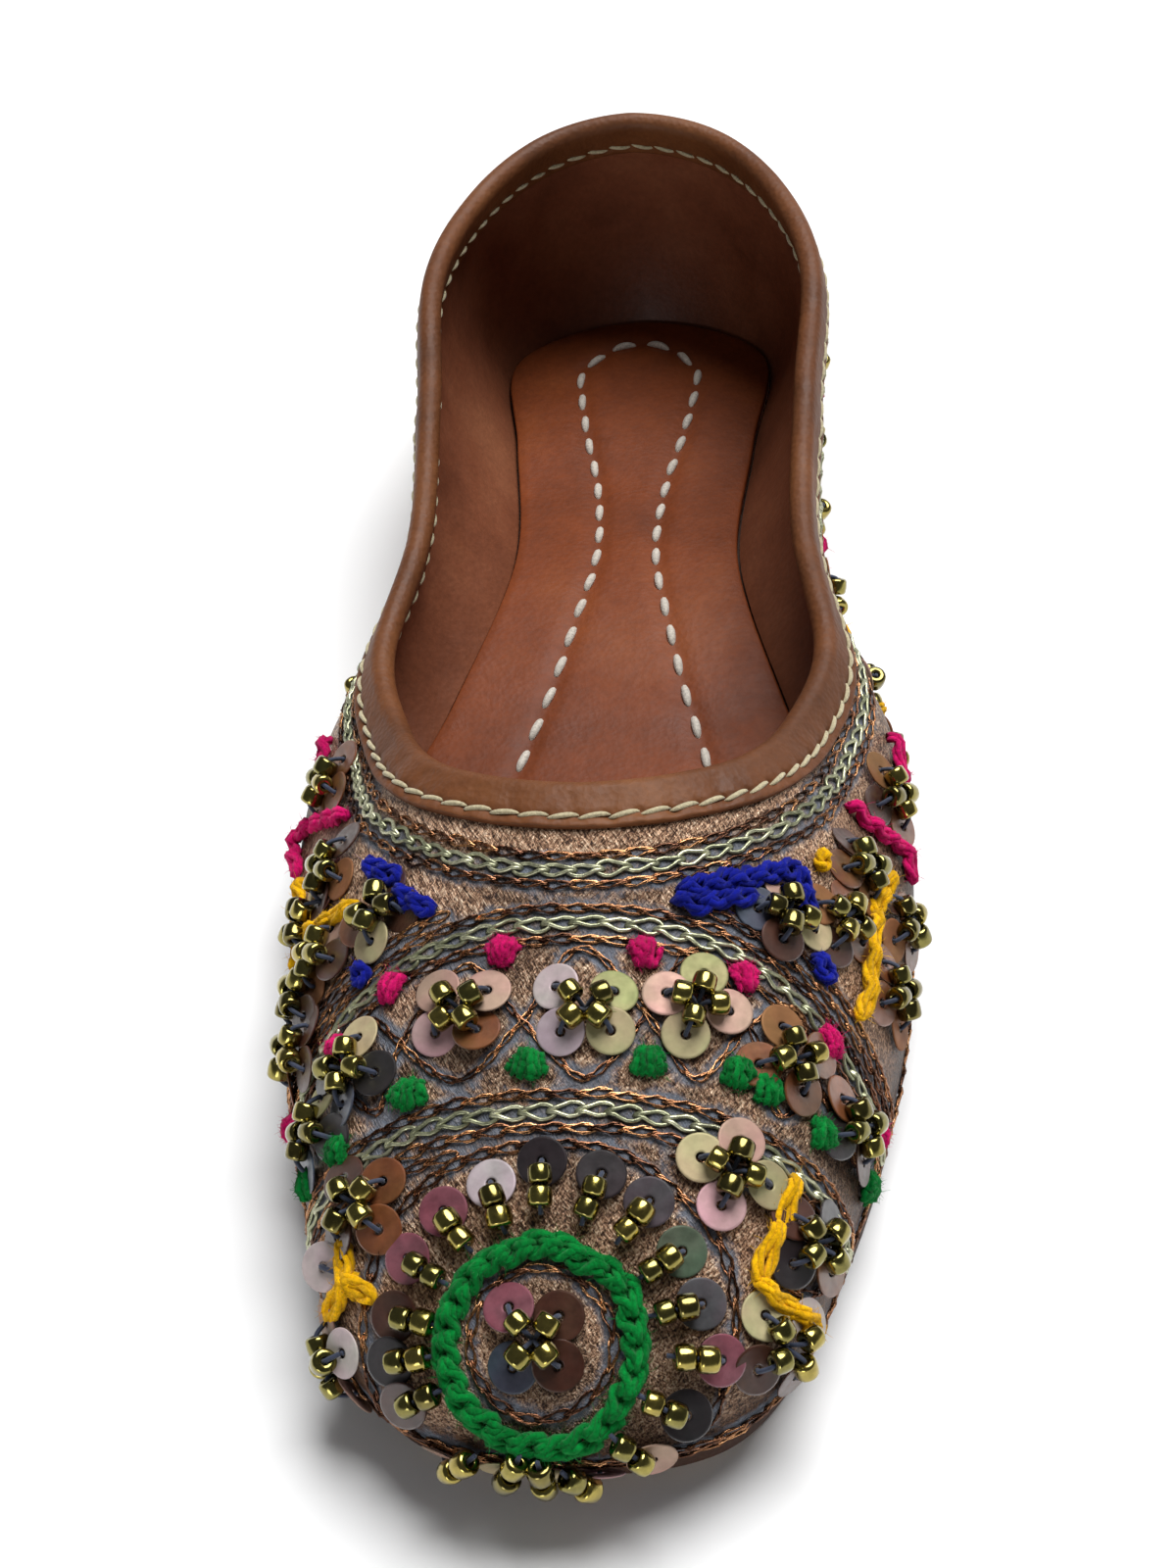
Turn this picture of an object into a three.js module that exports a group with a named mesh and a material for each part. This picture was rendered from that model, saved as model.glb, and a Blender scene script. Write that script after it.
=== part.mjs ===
// A flat embroidered mojari: leather sole, padded insole, one hollow upper, a binding folded
// over the topline, three raised braids and a wool ring on the toe.
// Millimetres, +Z up, toe towards -Y, origin on the floor below the middle of the shoe.
import * as THREE from 'three';

// Driving sizes
const LENGTH = 240; // heel to toe over the swell of the upper
const BALL_WIDTH = 87; // widest place over the swell of the upper
const HEEL_HEIGHT = 48; // floor to topline at the back
const INSTEP_HEIGHT = 42.8; // floor to topline at the throat
const WALL = 1.6; // upper leather and lining together
const GAP = 0.3; // clearance between neighbouring pieces

// Sole and insole
const SOLE_THICKNESS = 4;
const SOLE_EDGE = 0.5; // sole beyond the feather line
const SOLE_ROUND = 0.7;
const ARCH_RISE = 2.5;
const ARCH_BACK = 72;
const ARCH_FRONT = -8;
const TOE_SPRING = 3.2;
const SPRING_START = -62;
const INSOLE_THICKNESS = 2.5;
const INSOLE_INSET = 1.9; // feather line to insole edge
const INSOLE_ROUND = 0.8;

// Collar binding
const BINDING_LEATHER = 0.7;
const BINDING_LEG = 5.5; // how far each leg reaches below the topline

// Braids: one lies below the topline, lower at the throat than along the quarters, and eases
// between the two over a share of the side; the others cross the vamp
const BRAID_WIDTH = 2;
const BRAID_HEIGHT = 0.9;
const COLLAR_BRAID = { throat: 11.4, quarter: 8.3, ease: 0.15 };
const CROSS_AXIS_HEIGHT = 10; // the crossing braids are stepped by angle about this line
const CROSS_BRAIDS = [
  { name: 'braid_vamp', along: -61.3, sweep: 22.5, reach: 92 },
  { name: 'braid_toe', along: -85, sweep: 15, reach: 92 },
];

// Wool ring on the toe
const RING = { side: -2.2, along: -110, radius: 10.8, width: 3.6, height: 1.8 };

// Facets
const LOOP_STEPS = 88;
const BUNCH = 0.06; // draws the loop's steps together at heel and toe
const WALL_STEPS = 12;
const FOLD_STEPS = 4;
const LEG_STEPS = 2;
const CORD_STEPS = 4;
const CROSS_STEPS = 26;
const RING_STEPS = 40;

// Sections of the last from the heel (at 0) to the toe (at 1), one side; the other side mirrors it.
// foot: the feather line, top: the topline. Half widths are in percent of half the ball width,
// places along the foot in percent of half the length, and the topline's height in percent of a
// line from the heel height to the instep height. The swell columns push the wall out above the
// feather line and below the topline, at a rise or a drop from them; these four are millimetres.
const COLUMNS = ['at', 'footHalf', 'footAlong', 'topHalf', 'topAlong', 'topHigh',
  'footSwell', 'footRise', 'topSwell', 'topDrop'];
const SECTIONS = [
  [0.00, 0.0, 95.5, 0.0, 95.0, 100.0, 8.5, 16.0, 4.5, 14.0],
  [0.09, 36.5, 92.0, 34.0, 91.2, 98.5, 7.5, 16.0, 3.5, 14.0],
  [0.18, 57.0, 83.0, 58.5, 79.5, 96.5, 7.0, 15.0, 3.5, 13.0],
  [0.29, 51.5, 63.5, 72.3, 62.0, 93.5, 8.5, 14.0, 3.5, 12.0],
  [0.41, 46.0, 35.5, 69.8, 41.0, 82.5, 10.0, 12.0, 3.0, 11.5],
  [0.53, 62.5, 9.0, 68.0, 18.0, 72.5, 11.0, 11.0, 2.8, 12.5],
  [0.65, 88.0, -18.0, 75.0, -2.5, 69.0, 10.5, 11.0, 6.4, 11.5],
  [0.76, 93.0, -45.0, 64.8, -16.8, 74.0, 5.5, 9.5, 10.0, 9.0],
  [0.86, 76.5, -71.0, 49.0, -27.8, 87.0, 5.2, 11.0, 19.6, 7.5],
  [0.94, 46.5, -92.0, 25.8, -33.8, 96.5, 13.2, 13.5, 30.6, 8.0],
  [1.00, 0.0, -96.3, 0.0, -35.8, 100.0, 17.6, 15.0, 37.0, 8.0],
].map((row) => Object.fromEntries(COLUMNS.map((name, i) => [name, row[i]])));
const MIRRORED = new Set(['footHalf', 'topHalf']); // change sign across the middle of the shoe

const NUDGE = 1e-4; // step of the numeric slopes
const NEWTON_STEPS = 12;
const MID_VAMP = [0.5, 0.6]; // lap and rise from which places on the vamp are sought
const MID_TOE = [0.5, 0.35];

// One row of the table; the rows past the heel and the toe are its mirror image
function knot(name, i) {
  const last = SECTIONS.length - 1;
  if (i >= 0 && i <= last) {
    return { at: SECTIONS[i].at, value: SECTIONS[i][name] };
  }
  const row = SECTIONS[i < 0 ? -i : 2 * last - i];
  const sign = MIRRORED.has(name) ? -1 : 1;
  return { at: (i < 0 ? 0 : 2) - row.at, value: sign * row[name] };
}

// Smooth curve through one column of the table
function column(name, at) {
  let i = -1;
  while (i < SECTIONS.length - 1 && knot(name, i + 1).at <= at) {
    i += 1;
  }
  const [before, from, to, after] = [-1, 0, 1, 2].map((step) => knot(name, i + step));
  const span = to.at - from.at;
  const t = (at - from.at) / span;
  const leave = span * (to.value - before.value) / (to.at - before.at);
  const arrive = span * (after.value - from.value) / (after.at - from.at);
  const jump = to.value - from.value;
  return from.value + t * (leave + t * (3 * jump - 2 * leave - arrive + t * (leave + arrive - 2 * jump)));
}

// Outline of the foot or of the topline on the right side, with its outward direction
function outline(kind, at) {
  const place = (share) => new THREE.Vector2(
    column(`${kind}Half`, share) * BALL_WIDTH / 200,
    column(`${kind}Along`, share) * LENGTH / 200,
  );
  const run = place(at + NUDGE).sub(place(at - NUDGE)).normalize();
  return { point: place(at), out: new THREE.Vector2(-run.y, run.x) };
}

// Underside of the sole: flat at heel and forefoot, arched between, springing up at the toe
function floorRise(y) {
  if (y > ARCH_FRONT && y < ARCH_BACK) {
    return ARCH_RISE * Math.sin(Math.PI * (y - ARCH_FRONT) / (ARCH_BACK - ARCH_FRONT)) ** 2;
  }
  const past = Math.max(0, SPRING_START - y) / (SPRING_START + LENGTH / 2);
  return TOE_SPRING * past ** 2;
}

// Outer face of the upper: lap runs once round the shoe from the heel by the right side,
// rise runs from the feather line (0) to the topline (1)
function wallPoint(lap, rise) {
  const turn = lap - Math.floor(lap);
  const at = turn <= 0.5 ? 2 * turn : 2 - 2 * turn;
  const foot = outline('foot', at);
  const top = outline('top', at);
  const footZ = floorRise(foot.point.y) + SOLE_THICKNESS + GAP;
  const topZ = column('topHigh', at) / 100 * (HEEL_HEIGHT + (INSTEP_HEIGHT - HEEL_HEIGHT) * at);
  const pulled = (edge, swell) => edge.point.clone().addScaledVector(edge.out, column(swell, at));
  const lower = pulled(foot, 'footSwell');
  const upper = pulled(top, 'topSwell');
  const side = new THREE.CubicBezierCurve3(
    new THREE.Vector3(foot.point.x, foot.point.y, footZ),
    new THREE.Vector3(lower.x, lower.y, footZ + column('footRise', at)),
    new THREE.Vector3(upper.x, upper.y, topZ - column('topDrop', at)),
    new THREE.Vector3(top.point.x, top.point.y, topZ),
  );
  const point = side.getPoint(rise);
  point.x *= turn <= 0.5 ? 1 : -1;
  return point;
}

// Outward normal of the wall, and its direction up the side
function wallFrame(lap, rise) {
  const up = wallPoint(lap, rise + NUDGE).sub(wallPoint(lap, rise - NUDGE)).normalize();
  const round = wallPoint(lap + NUDGE, rise).sub(wallPoint(lap - NUDGE, rise));
  return { normal: up.clone().cross(round).normalize(), up };
}

function offWall(lap, rise, distance) {
  return wallPoint(lap, rise).addScaledVector(wallFrame(lap, rise).normal, distance);
}

// Rise of the place on the wall that lies a given distance below the topline
function riseBelowTop(lap, drop) {
  const step = 1 / 60;
  let rise = 1;
  let left = drop;
  let stride = wallPoint(lap, rise).distanceTo(wallPoint(lap, rise - step));
  while (left > stride) {
    left -= stride;
    rise -= step;
    stride = wallPoint(lap, rise).distanceTo(wallPoint(lap, rise - step));
  }
  return rise - step * left / stride;
}

// Place on the wall where two misses vanish, by Newton steps from a guess
function findOnWall(misses, guess) {
  let [lap, rise] = guess;
  for (let round = 0; round < NEWTON_STEPS; round += 1) {
    const [a, b] = misses(wallPoint(lap, rise));
    const byLap = misses(wallPoint(lap + NUDGE, rise)).map((m, i) => (m - [a, b][i]) / NUDGE);
    const byRise = misses(wallPoint(lap, rise + NUDGE)).map((m, i) => (m - [a, b][i]) / NUDGE);
    const det = byLap[0] * byRise[1] - byLap[1] * byRise[0];
    lap -= (a * byRise[1] - b * byRise[0]) / det;
    rise -= (b * byLap[0] - a * byLap[1]) / det;
  }
  return [lap, rise];
}

// Closed solid from rings of equal length; an open run of rings is closed by its end rings
function solidFromRings(rings, looped) {
  const size = rings[0].length;
  const vertices = [];
  const known = new Map();
  const index = (point) => {
    const key = point.toArray().map((value) => Math.round(value * 1000)).join(' ');
    if (!known.has(key)) {
      known.set(key, vertices.length / 3);
      vertices.push(point.x, point.y, point.z);
    }
    return known.get(key);
  };
  const grid = rings.map((ring) => ring.map(index));
  const triangles = [];
  const triangle = (a, b, c) => {
    if (a !== b && b !== c && c !== a) {
      triangles.push(a, b, c);
    }
  };
  const strips = looped ? rings.length : rings.length - 1;
  for (let i = 0; i < strips; i += 1) {
    const next = grid[(i + 1) % rings.length];
    for (let k = 0; k < size; k += 1) {
      const over = (k + 1) % size;
      triangle(grid[i][k], grid[i][over], next[over]);
      triangle(grid[i][k], next[over], next[k]);
    }
  }
  if (!looped) {
    const end = grid[grid.length - 1];
    for (let k = 1; k < size - 1; k += 1) {
      triangle(grid[0][0], grid[0][k + 1], grid[0][k]);
      triangle(end[0], end[k], end[k + 1]);
    }
  }
  return facedOutward(vertices, triangles);
}

// Geometry whose faces point out of the solid, whichever way its rings ran
function facedOutward(vertices, triangles) {
  const corner = (i) => new THREE.Vector3().fromArray(vertices, 3 * i);
  let volume = 0;
  for (let i = 0; i < triangles.length; i += 3) {
    const [a, b, c] = triangles.slice(i, i + 3).map(corner);
    volume += a.dot(b.cross(c));
  }
  const geometry = new THREE.BufferGeometry();
  geometry.setAttribute('position', new THREE.Float32BufferAttribute(vertices, 3));
  geometry.setIndex(volume > 0 ? triangles : triangles.reverse());
  geometry.computeVertexNormals();
  return geometry;
}

const shares = (steps) => Array.from({ length: steps + 1 }, (_, i) => i / steps);
const stations = shares(LOOP_STEPS / 2).map((share) => share - BUNCH * Math.sin(2 * Math.PI * share));
const laps = [
  ...stations.map((at) => at / 2),
  ...stations.slice(1, -1).reverse().map((at) => 1 - at / 2),
];

// Flat piece that follows the underside's curve: offset is outward from the feather line
function slab(offset, bottom, thickness, round) {
  const rings = stations.map((at) => {
    const { point, out } = outline('foot', at);
    const corner = (inward, height) => {
      const place = point.clone().addScaledVector(out, offset - inward);
      return new THREE.Vector3(Math.max(0, place.x), place.y, floorRise(place.y) + bottom + height);
    };
    const right = [
      corner(round, 0),
      corner(0, round),
      corner(0, thickness - round),
      corner(round, thickness),
    ];
    const left = right.map((p) => new THREE.Vector3(-p.x, p.y, p.z)).reverse();
    return [...right, ...left];
  });
  return solidFromRings(rings, false);
}

function outsole() {
  return slab(SOLE_EDGE, 0, SOLE_THICKNESS, SOLE_ROUND);
}

function insole() {
  return slab(-INSOLE_INSET, SOLE_THICKNESS + GAP, INSOLE_THICKNESS, INSOLE_ROUND);
}

// One hollow wall, open at the collar and underneath
function upper() {
  const rings = laps.map((lap) => {
    const outer = shares(WALL_STEPS).map((rise) => wallPoint(lap, rise));
    const inner = shares(WALL_STEPS).map((rise) => offWall(lap, rise, -WALL)).reverse();
    return [...outer, ...inner];
  });
  return solidFromRings(rings, true);
}

// Leather strip folded over the topline, a leg on each face of the wall
function binding() {
  const rings = laps.map((lap) => {
    const { normal, up } = wallFrame(lap, 1);
    const edge = wallPoint(lap, 1).addScaledVector(normal, -WALL / 2);
    const drops = shares(LEG_STEPS).map((share) => (1 - share) * BINDING_LEG);
    const face = (lift) => {
      const reach = WALL / 2 + lift;
      const outside = drops.map((drop) => offWall(lap, riseBelowTop(lap, drop), lift));
      const inside = drops.map((drop) => offWall(lap, riseBelowTop(lap, drop), -WALL - lift)).reverse();
      const fold = shares(FOLD_STEPS).slice(1, -1).map((share) => edge.clone()
        .addScaledVector(normal, reach * Math.cos(Math.PI * share))
        .addScaledVector(up, reach * Math.sin(Math.PI * share)));
      return [...outside, ...fold, ...inside];
    };
    return [...face(GAP + BINDING_LEATHER), ...face(GAP).reverse()];
  });
  return solidFromRings(rings, true);
}

// Raised cord of half-oval section lying on the wall along a route of [lap, rise] places
function cordOnWall(route, looped, width, height) {
  const points = route.map(([lap, rise]) => wallPoint(lap, rise));
  const rings = route.map(([lap, rise], i) => {
    const before = points.at(looped ? i - 1 : Math.max(i - 1, 0));
    const after = points[looped ? (i + 1) % points.length : Math.min(i + 1, points.length - 1)];
    const run = after.clone().sub(before).normalize();
    const { normal } = wallFrame(lap, rise);
    const across = run.cross(normal).normalize();
    return shares(CORD_STEPS).map((share) => points[i].clone()
      .addScaledVector(across, width / 2 * Math.cos(Math.PI * share))
      .addScaledVector(normal, GAP + height * Math.sin(Math.PI * share)));
  });
  return solidFromRings(rings, looped);
}

function collarBraid() {
  const { throat, quarter, ease } = COLLAR_BRAID;
  const route = laps.map((lap) => {
    const nearThroat = Math.exp(-(((2 * lap - 1) / ease) ** 2));
    return [lap, riseBelowTop(lap, quarter + (throat - quarter) * nearThroat)];
  });
  return cordOnWall(route, true, BRAID_WIDTH, BRAID_HEIGHT);
}

// Braid across the vamp: at one place along the foot, swept towards the toe at its ends
function crossBraid({ along, sweep, reach }) {
  const start = findOnWall((p) => [p.x, p.y - along], MID_VAMP);
  const stepFrom = (guess, degrees) => findOnWall((p) => [
    Math.atan2(p.x, p.z - CROSS_AXIS_HEIGHT) - THREE.MathUtils.degToRad(degrees),
    p.y - along + sweep * Math.abs(2 * p.x / BALL_WIDTH) ** 3,
  ], guess);
  const half = (direction) => {
    const route = [];
    let place = start;
    for (const share of shares(CROSS_STEPS / 2).slice(1)) {
      place = stepFrom(place, direction * share * reach);
      route.push(place);
    }
    return route;
  };
  const route = [...half(-1).reverse(), start, ...half(1)];
  return cordOnWall(route, false, BRAID_WIDTH, BRAID_HEIGHT);
}

// Wool ring: a circle in the plane that touches the toe at the ring's middle
function toeRing() {
  const middle = findOnWall((p) => [p.x - RING.side, p.y - RING.along], MID_TOE);
  const centre = wallPoint(...middle);
  const { normal, up } = wallFrame(...middle);
  const sideways = up.clone().cross(normal);
  let place = middle;
  const route = shares(RING_STEPS).slice(1).map((share) => {
    const angle = 2 * Math.PI * share;
    place = findOnWall((p) => [
      p.clone().sub(centre).dot(sideways) - RING.radius * Math.cos(angle),
      p.clone().sub(centre).dot(up) - RING.radius * Math.sin(angle),
    ], place);
    return place;
  });
  return cordOnWall(route, true, RING.width, RING.height);
}

function piece(name, geometry, color, roughness, metalness = 0) {
  const material = new THREE.MeshStandardMaterial({ color, roughness, metalness });
  const mesh = new THREE.Mesh(geometry, material);
  mesh.name = name;
  return mesh;
}

const TAN = 0x85573a;
const COGNAC = 0x8b482a;
const SOLE_CREAM = 0xc9ad87;
const COPPER = 0x6d5046;
const PALE_GOLD = 0xa9a27e;
const GREEN_WOOL = 0x05702f;

const shoe = new THREE.Group();
shoe.add(
  piece('outsole', outsole(), SOLE_CREAM, 0.7),
  piece('insole', insole(), COGNAC, 0.45),
  piece('upper', upper(), COPPER, 0.5, 0.3),
  piece('binding', binding(), TAN, 0.5),
  piece('braid_collar', collarBraid(), PALE_GOLD, 0.4, 0.6),
  ...CROSS_BRAIDS.map((row) => piece(row.name, crossBraid(row), PALE_GOLD, 0.4, 0.6)),
  piece('toe_ring', toeRing(), GREEN_WOOL, 0.9),
);

export default shoe;
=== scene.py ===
# Dressed model of a flat embroidered mojari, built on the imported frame.
# Shapes are worked out in millimetres in the part's frame (toe towards -Y) and written in metres.
# Places read off the photograph are pixels of its 1200 x 1600 frame.
import math

import bpy
import numpy as np
from mathutils import Matrix, Vector
from mathutils.bvhtree import BVHTree
from mathutils.kdtree import KDTree


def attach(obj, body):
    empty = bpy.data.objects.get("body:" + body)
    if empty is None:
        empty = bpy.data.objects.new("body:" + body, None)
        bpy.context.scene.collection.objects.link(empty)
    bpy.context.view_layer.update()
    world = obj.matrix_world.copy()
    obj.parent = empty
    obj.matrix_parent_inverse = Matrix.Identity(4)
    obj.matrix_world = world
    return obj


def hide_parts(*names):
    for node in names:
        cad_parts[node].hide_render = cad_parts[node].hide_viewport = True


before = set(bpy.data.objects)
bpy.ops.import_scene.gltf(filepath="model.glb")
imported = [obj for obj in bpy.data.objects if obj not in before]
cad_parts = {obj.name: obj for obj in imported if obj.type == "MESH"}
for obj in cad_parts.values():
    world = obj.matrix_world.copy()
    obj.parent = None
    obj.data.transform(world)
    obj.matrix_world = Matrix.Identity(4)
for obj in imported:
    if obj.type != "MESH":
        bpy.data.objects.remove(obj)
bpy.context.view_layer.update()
rng = np.random.default_rng(11)
MM = 0.001

# Sizes of the part's source
LENGTH = 240
BALL_WIDTH = 87
HEEL_HEIGHT = 48
INSTEP_HEIGHT = 42.8
WALL = 1.6
GAP = 0.3
SOLE_THICKNESS = 4
SOLE_EDGE = 0.5
ARCH_RISE = 2.5
ARCH_BACK = 72
ARCH_FRONT = -8
TOE_SPRING = 3.2
SPRING_START = -62
INSOLE_THICKNESS = 2.5
INSOLE_INSET = 1.9
BINDING_LEATHER = 0.7
BINDING_LEG = 5.5
COLLAR_BRAID = {"throat": 11.4, "quarter": 8.3, "ease": 0.15}
CROSS_AXIS_HEIGHT = 10
BRAID_VAMP = {"along": -61.3, "sweep": 22.5, "reach": 92}
BRAID_TOE = {"along": -85, "sweep": 15, "reach": 92}
RING = {"side": -2.2, "along": -110, "radius": 10.8}
BUNCH = 0.06

# Sections of the last from heel to toe, as in the part's source
COLUMNS = ("at", "footHalf", "footAlong", "topHalf", "topAlong", "topHigh",
           "footSwell", "footRise", "topSwell", "topDrop")
SECTIONS = dict(zip(COLUMNS, np.array([
    [0.00, 0.0, 95.5, 0.0, 95.0, 100.0, 8.5, 16.0, 4.5, 14.0],
    [0.09, 36.5, 92.0, 34.0, 91.2, 98.5, 7.5, 16.0, 3.5, 14.0],
    [0.18, 57.0, 83.0, 58.5, 79.5, 96.5, 7.0, 15.0, 3.5, 13.0],
    [0.29, 51.5, 63.5, 72.3, 62.0, 93.5, 8.5, 14.0, 3.5, 12.0],
    [0.41, 46.0, 35.5, 69.8, 41.0, 82.5, 10.0, 12.0, 3.0, 11.5],
    [0.53, 62.5, 9.0, 68.0, 18.0, 72.5, 11.0, 11.0, 2.8, 12.5],
    [0.65, 88.0, -18.0, 75.0, -2.5, 69.0, 10.5, 11.0, 6.4, 11.5],
    [0.76, 93.0, -45.0, 64.8, -16.8, 74.0, 5.5, 9.5, 10.0, 9.0],
    [0.86, 76.5, -71.0, 49.0, -27.8, 87.0, 5.2, 11.0, 19.6, 7.5],
    [0.94, 46.5, -92.0, 25.8, -33.8, 96.5, 13.2, 13.5, 30.6, 8.0],
    [1.00, 0.0, -96.3, 0.0, -35.8, 100.0, 17.6, 15.0, 37.0, 8.0],
]).T))
MIRRORED = ("footHalf", "topHalf")
NUDGE = 1e-4

# The photograph's camera, in the part's frame
PHOTO_WIDTH, PHOTO_HEIGHT = 1200, 1600
PHOTO_FOCAL = 1771.5
PHOTO_PLACE = np.array([27.4, -240.5, 248.8])
PHOTO_PITCH = math.radians(49.17)
PHOTO_YAW = math.radians(1.59)
PHOTO_ROLL = math.radians(0.79)
SHOE_MIDDLE = (403, 702)  # pixel that the render's camera looks at
SHOE_SHARE = 0.88  # of the frame's height
SHOE_TALL = 1085  # pixels


def unit(v):
    return v / np.maximum(np.linalg.norm(v, axis=-1, keepdims=True), 1e-12)


def dots(a, b):
    return (a * b).sum(axis=-1, keepdims=True)


# Direction laid on a surface with a given normal
def laid(direction, normal):
    return unit(direction - normal * (direction @ normal))


def smooth(low, high, x):
    t = np.clip((np.asarray(x, float) - low) / (high - low), 0, 1)
    return t * t * (3 - 2 * t)


# Smooth curve through one column of the table, mirrored past the heel and the toe
def column(name, at):
    sign = -1 if name in MIRRORED else 1
    k, v = SECTIONS["at"], SECTIONS[name]
    k = np.concatenate([-k[2:0:-1], k, 2 - k[-2:-4:-1]])
    v = np.concatenate([sign * v[2:0:-1], v, sign * v[-2:-4:-1]])
    i = np.clip(np.searchsorted(k, at, side="right") - 1, 1, len(k) - 3)
    span = k[i + 1] - k[i]
    t = (at - k[i]) / span
    leave = span * (v[i + 1] - v[i - 1]) / (k[i + 1] - k[i - 1])
    arrive = span * (v[i + 2] - v[i]) / (k[i + 2] - k[i])
    jump = v[i + 1] - v[i]
    return v[i] + t * (leave + t * (3 * jump - 2 * leave - arrive + t * (leave + arrive - 2 * jump)))


# Outline of the foot or of the topline on the right side, with its outward direction
def outline(kind, at):
    def place(share):
        return np.stack([column(kind + "Half", share) * BALL_WIDTH / 200,
                         column(kind + "Along", share) * LENGTH / 200], axis=-1)

    run = unit(place(at + NUDGE) - place(at - NUDGE))
    return place(at), np.stack([-run[..., 1], run[..., 0]], axis=-1)


def floor_rise(y):
    arch = ARCH_RISE * np.sin(np.pi * (y - ARCH_FRONT) / (ARCH_BACK - ARCH_FRONT)) ** 2
    past = np.maximum(0, SPRING_START - y) / (SPRING_START + LENGTH / 2)
    return np.where((y > ARCH_FRONT) & (y < ARCH_BACK), arch, 0) + TOE_SPRING * past ** 2


# Outer face of the upper: lap runs once round from the heel by the right side,
# rise runs from the feather line (0) to the topline (1)
def wall(lap, rise):
    turn = np.asarray(lap, float) - np.floor(lap)
    at = np.where(turn <= 0.5, 2 * turn, 2 - 2 * turn)
    foot, foot_out = outline("foot", at)
    top, top_out = outline("top", at)
    foot_z = floor_rise(foot[..., 1]) + SOLE_THICKNESS + GAP
    top_z = column("topHigh", at) / 100 * (HEEL_HEIGHT + (INSTEP_HEIGHT - HEEL_HEIGHT) * at)

    def corner(flat, out, swell, z):
        return np.concatenate([flat + out * swell[..., None], z[..., None]], axis=-1)

    corners = (
        corner(foot, foot_out, 0 * at, foot_z),
        corner(foot, foot_out, column("footSwell", at), foot_z + column("footRise", at)),
        corner(top, top_out, column("topSwell", at), top_z - column("topDrop", at)),
        corner(top, top_out, 0 * at, top_z),
    )
    t = np.asarray(rise, float)[..., None]
    shares = ((1 - t) ** 3, 3 * t * (1 - t) ** 2, 3 * t ** 2 * (1 - t), t ** 3)
    point = sum(share * c for share, c in zip(shares, corners))
    point[..., 0] *= np.where(turn <= 0.5, 1, -1)
    return point


# Place on the wall, its outward normal and its direction up the side
def wall_frame(lap, rise):
    up = unit(wall(lap, rise + NUDGE) - wall(lap, rise - NUDGE))
    across = wall(lap + NUDGE, rise) - wall(lap - NUDGE, rise)
    return wall(lap, rise), unit(np.cross(up, across)), up


DROP_STEPS = 160


# Rise of the places that lie given distances below the topline, one lap per row
def rise_below(laps, drops):
    rises = np.linspace(1, 0, DROP_STEPS + 1)
    line = wall(laps[:, None], rises[None, :])
    run = np.cumsum(np.linalg.norm(np.diff(line, axis=1), axis=2), axis=1)
    run = np.concatenate([np.zeros((len(laps), 1)), run], axis=1)
    return np.array([np.interp(d, r, rises) for d, r in zip(drops, run)])


def lap_stations(count):
    share = np.arange(count // 2 + 1) / (count // 2)
    at = share - BUNCH * np.sin(2 * np.pi * share)
    return np.concatenate([at / 2, 1 - at[1:-1][::-1] / 2])


CREASE_SHELL = 12  # mm off the wall at which a crease has faded
# Soft creases of the upper: middle (lap, rise), lean from the level in degrees, half length and
# half width in mm, and depth in mm, negative for a ridge
CREASES = (
    (0.300, 0.55, 62, 15, 2.6, 0.55), (0.322, 0.50, 55, 13, 2.2, -0.40),
    (0.345, 0.52, 48, 12, 2.4, 0.45), (0.262, 0.50, 75, 16, 3.0, 0.45),
    (0.215, 0.45, 85, 15, 3.2, -0.40), (0.700, 0.55, 118, 15, 2.6, 0.55),
    (0.678, 0.50, 125, 13, 2.2, -0.40), (0.655, 0.52, 132, 12, 2.4, 0.45),
    (0.738, 0.50, 105, 16, 3.0, 0.45), (0.785, 0.45, 95, 15, 3.2, -0.40),
    (0.060, 0.40, 80, 14, 3.4, 0.40), (0.940, 0.40, 100, 14, 3.4, 0.40),
    (0.455, 0.68, 25, 11, 2.2, 0.30), (0.545, 0.68, 155, 11, 2.2, 0.30),
)


# How far the creases push places of the wall along the normal
def creased(points):
    push = np.zeros(points.shape[:-1])
    for lap, rise, lean, long, wide, depth in CREASES:
        middle, normal, up = wall_frame(np.array(lap), np.array(rise))
        level = np.cross(up, normal)
        turn = math.radians(lean)
        run = level * math.cos(turn) + up * math.sin(turn)
        across = np.cross(normal, run)
        away = points - middle
        a, b = away @ run / long, away @ across / wide
        near = np.exp(-(away @ normal / CREASE_SHELL) ** 2)
        push -= depth * np.exp(-a ** 4) * (1 - 0.5 * b ** 2) * np.exp(-b ** 2 / 2) * near
    return push


WALL_LAPS, WALL_RISES = 480, 96
wall_laps = lap_stations(WALL_LAPS)
wall_rises = np.linspace(0, 1, WALL_RISES + 1)
wall_points, wall_normals, _ = wall_frame(wall_laps[:, None], wall_rises[None, :])
wall_points = wall_points + wall_normals * creased(wall_points)[..., None]


def grid_faces(rows, columns, wrap_rows=False, wrap_columns=False):
    index = np.arange(rows * columns).reshape(rows, columns)
    a, b = index, np.roll(index, -1, axis=0)
    a, b = (a, b) if wrap_rows else (a[:-1], b[:-1])
    c, d = np.roll(b, -1, axis=1), np.roll(a, -1, axis=1)
    faces = np.stack([a, b, c, d], axis=-1)
    faces = faces if wrap_columns else faces[:, :-1]
    return faces.reshape(-1, 4)


wall_tree = BVHTree.FromPolygons(
    wall_points.reshape(-1, 3).tolist(),
    grid_faces(WALL_LAPS, WALL_RISES + 1, wrap_rows=True).tolist())
cell_normals = wall_normals + np.roll(wall_normals, -1, axis=0)
cell_normals = unit(cell_normals[:, :-1] + cell_normals[:, 1:]).reshape(-1, 3)


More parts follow.
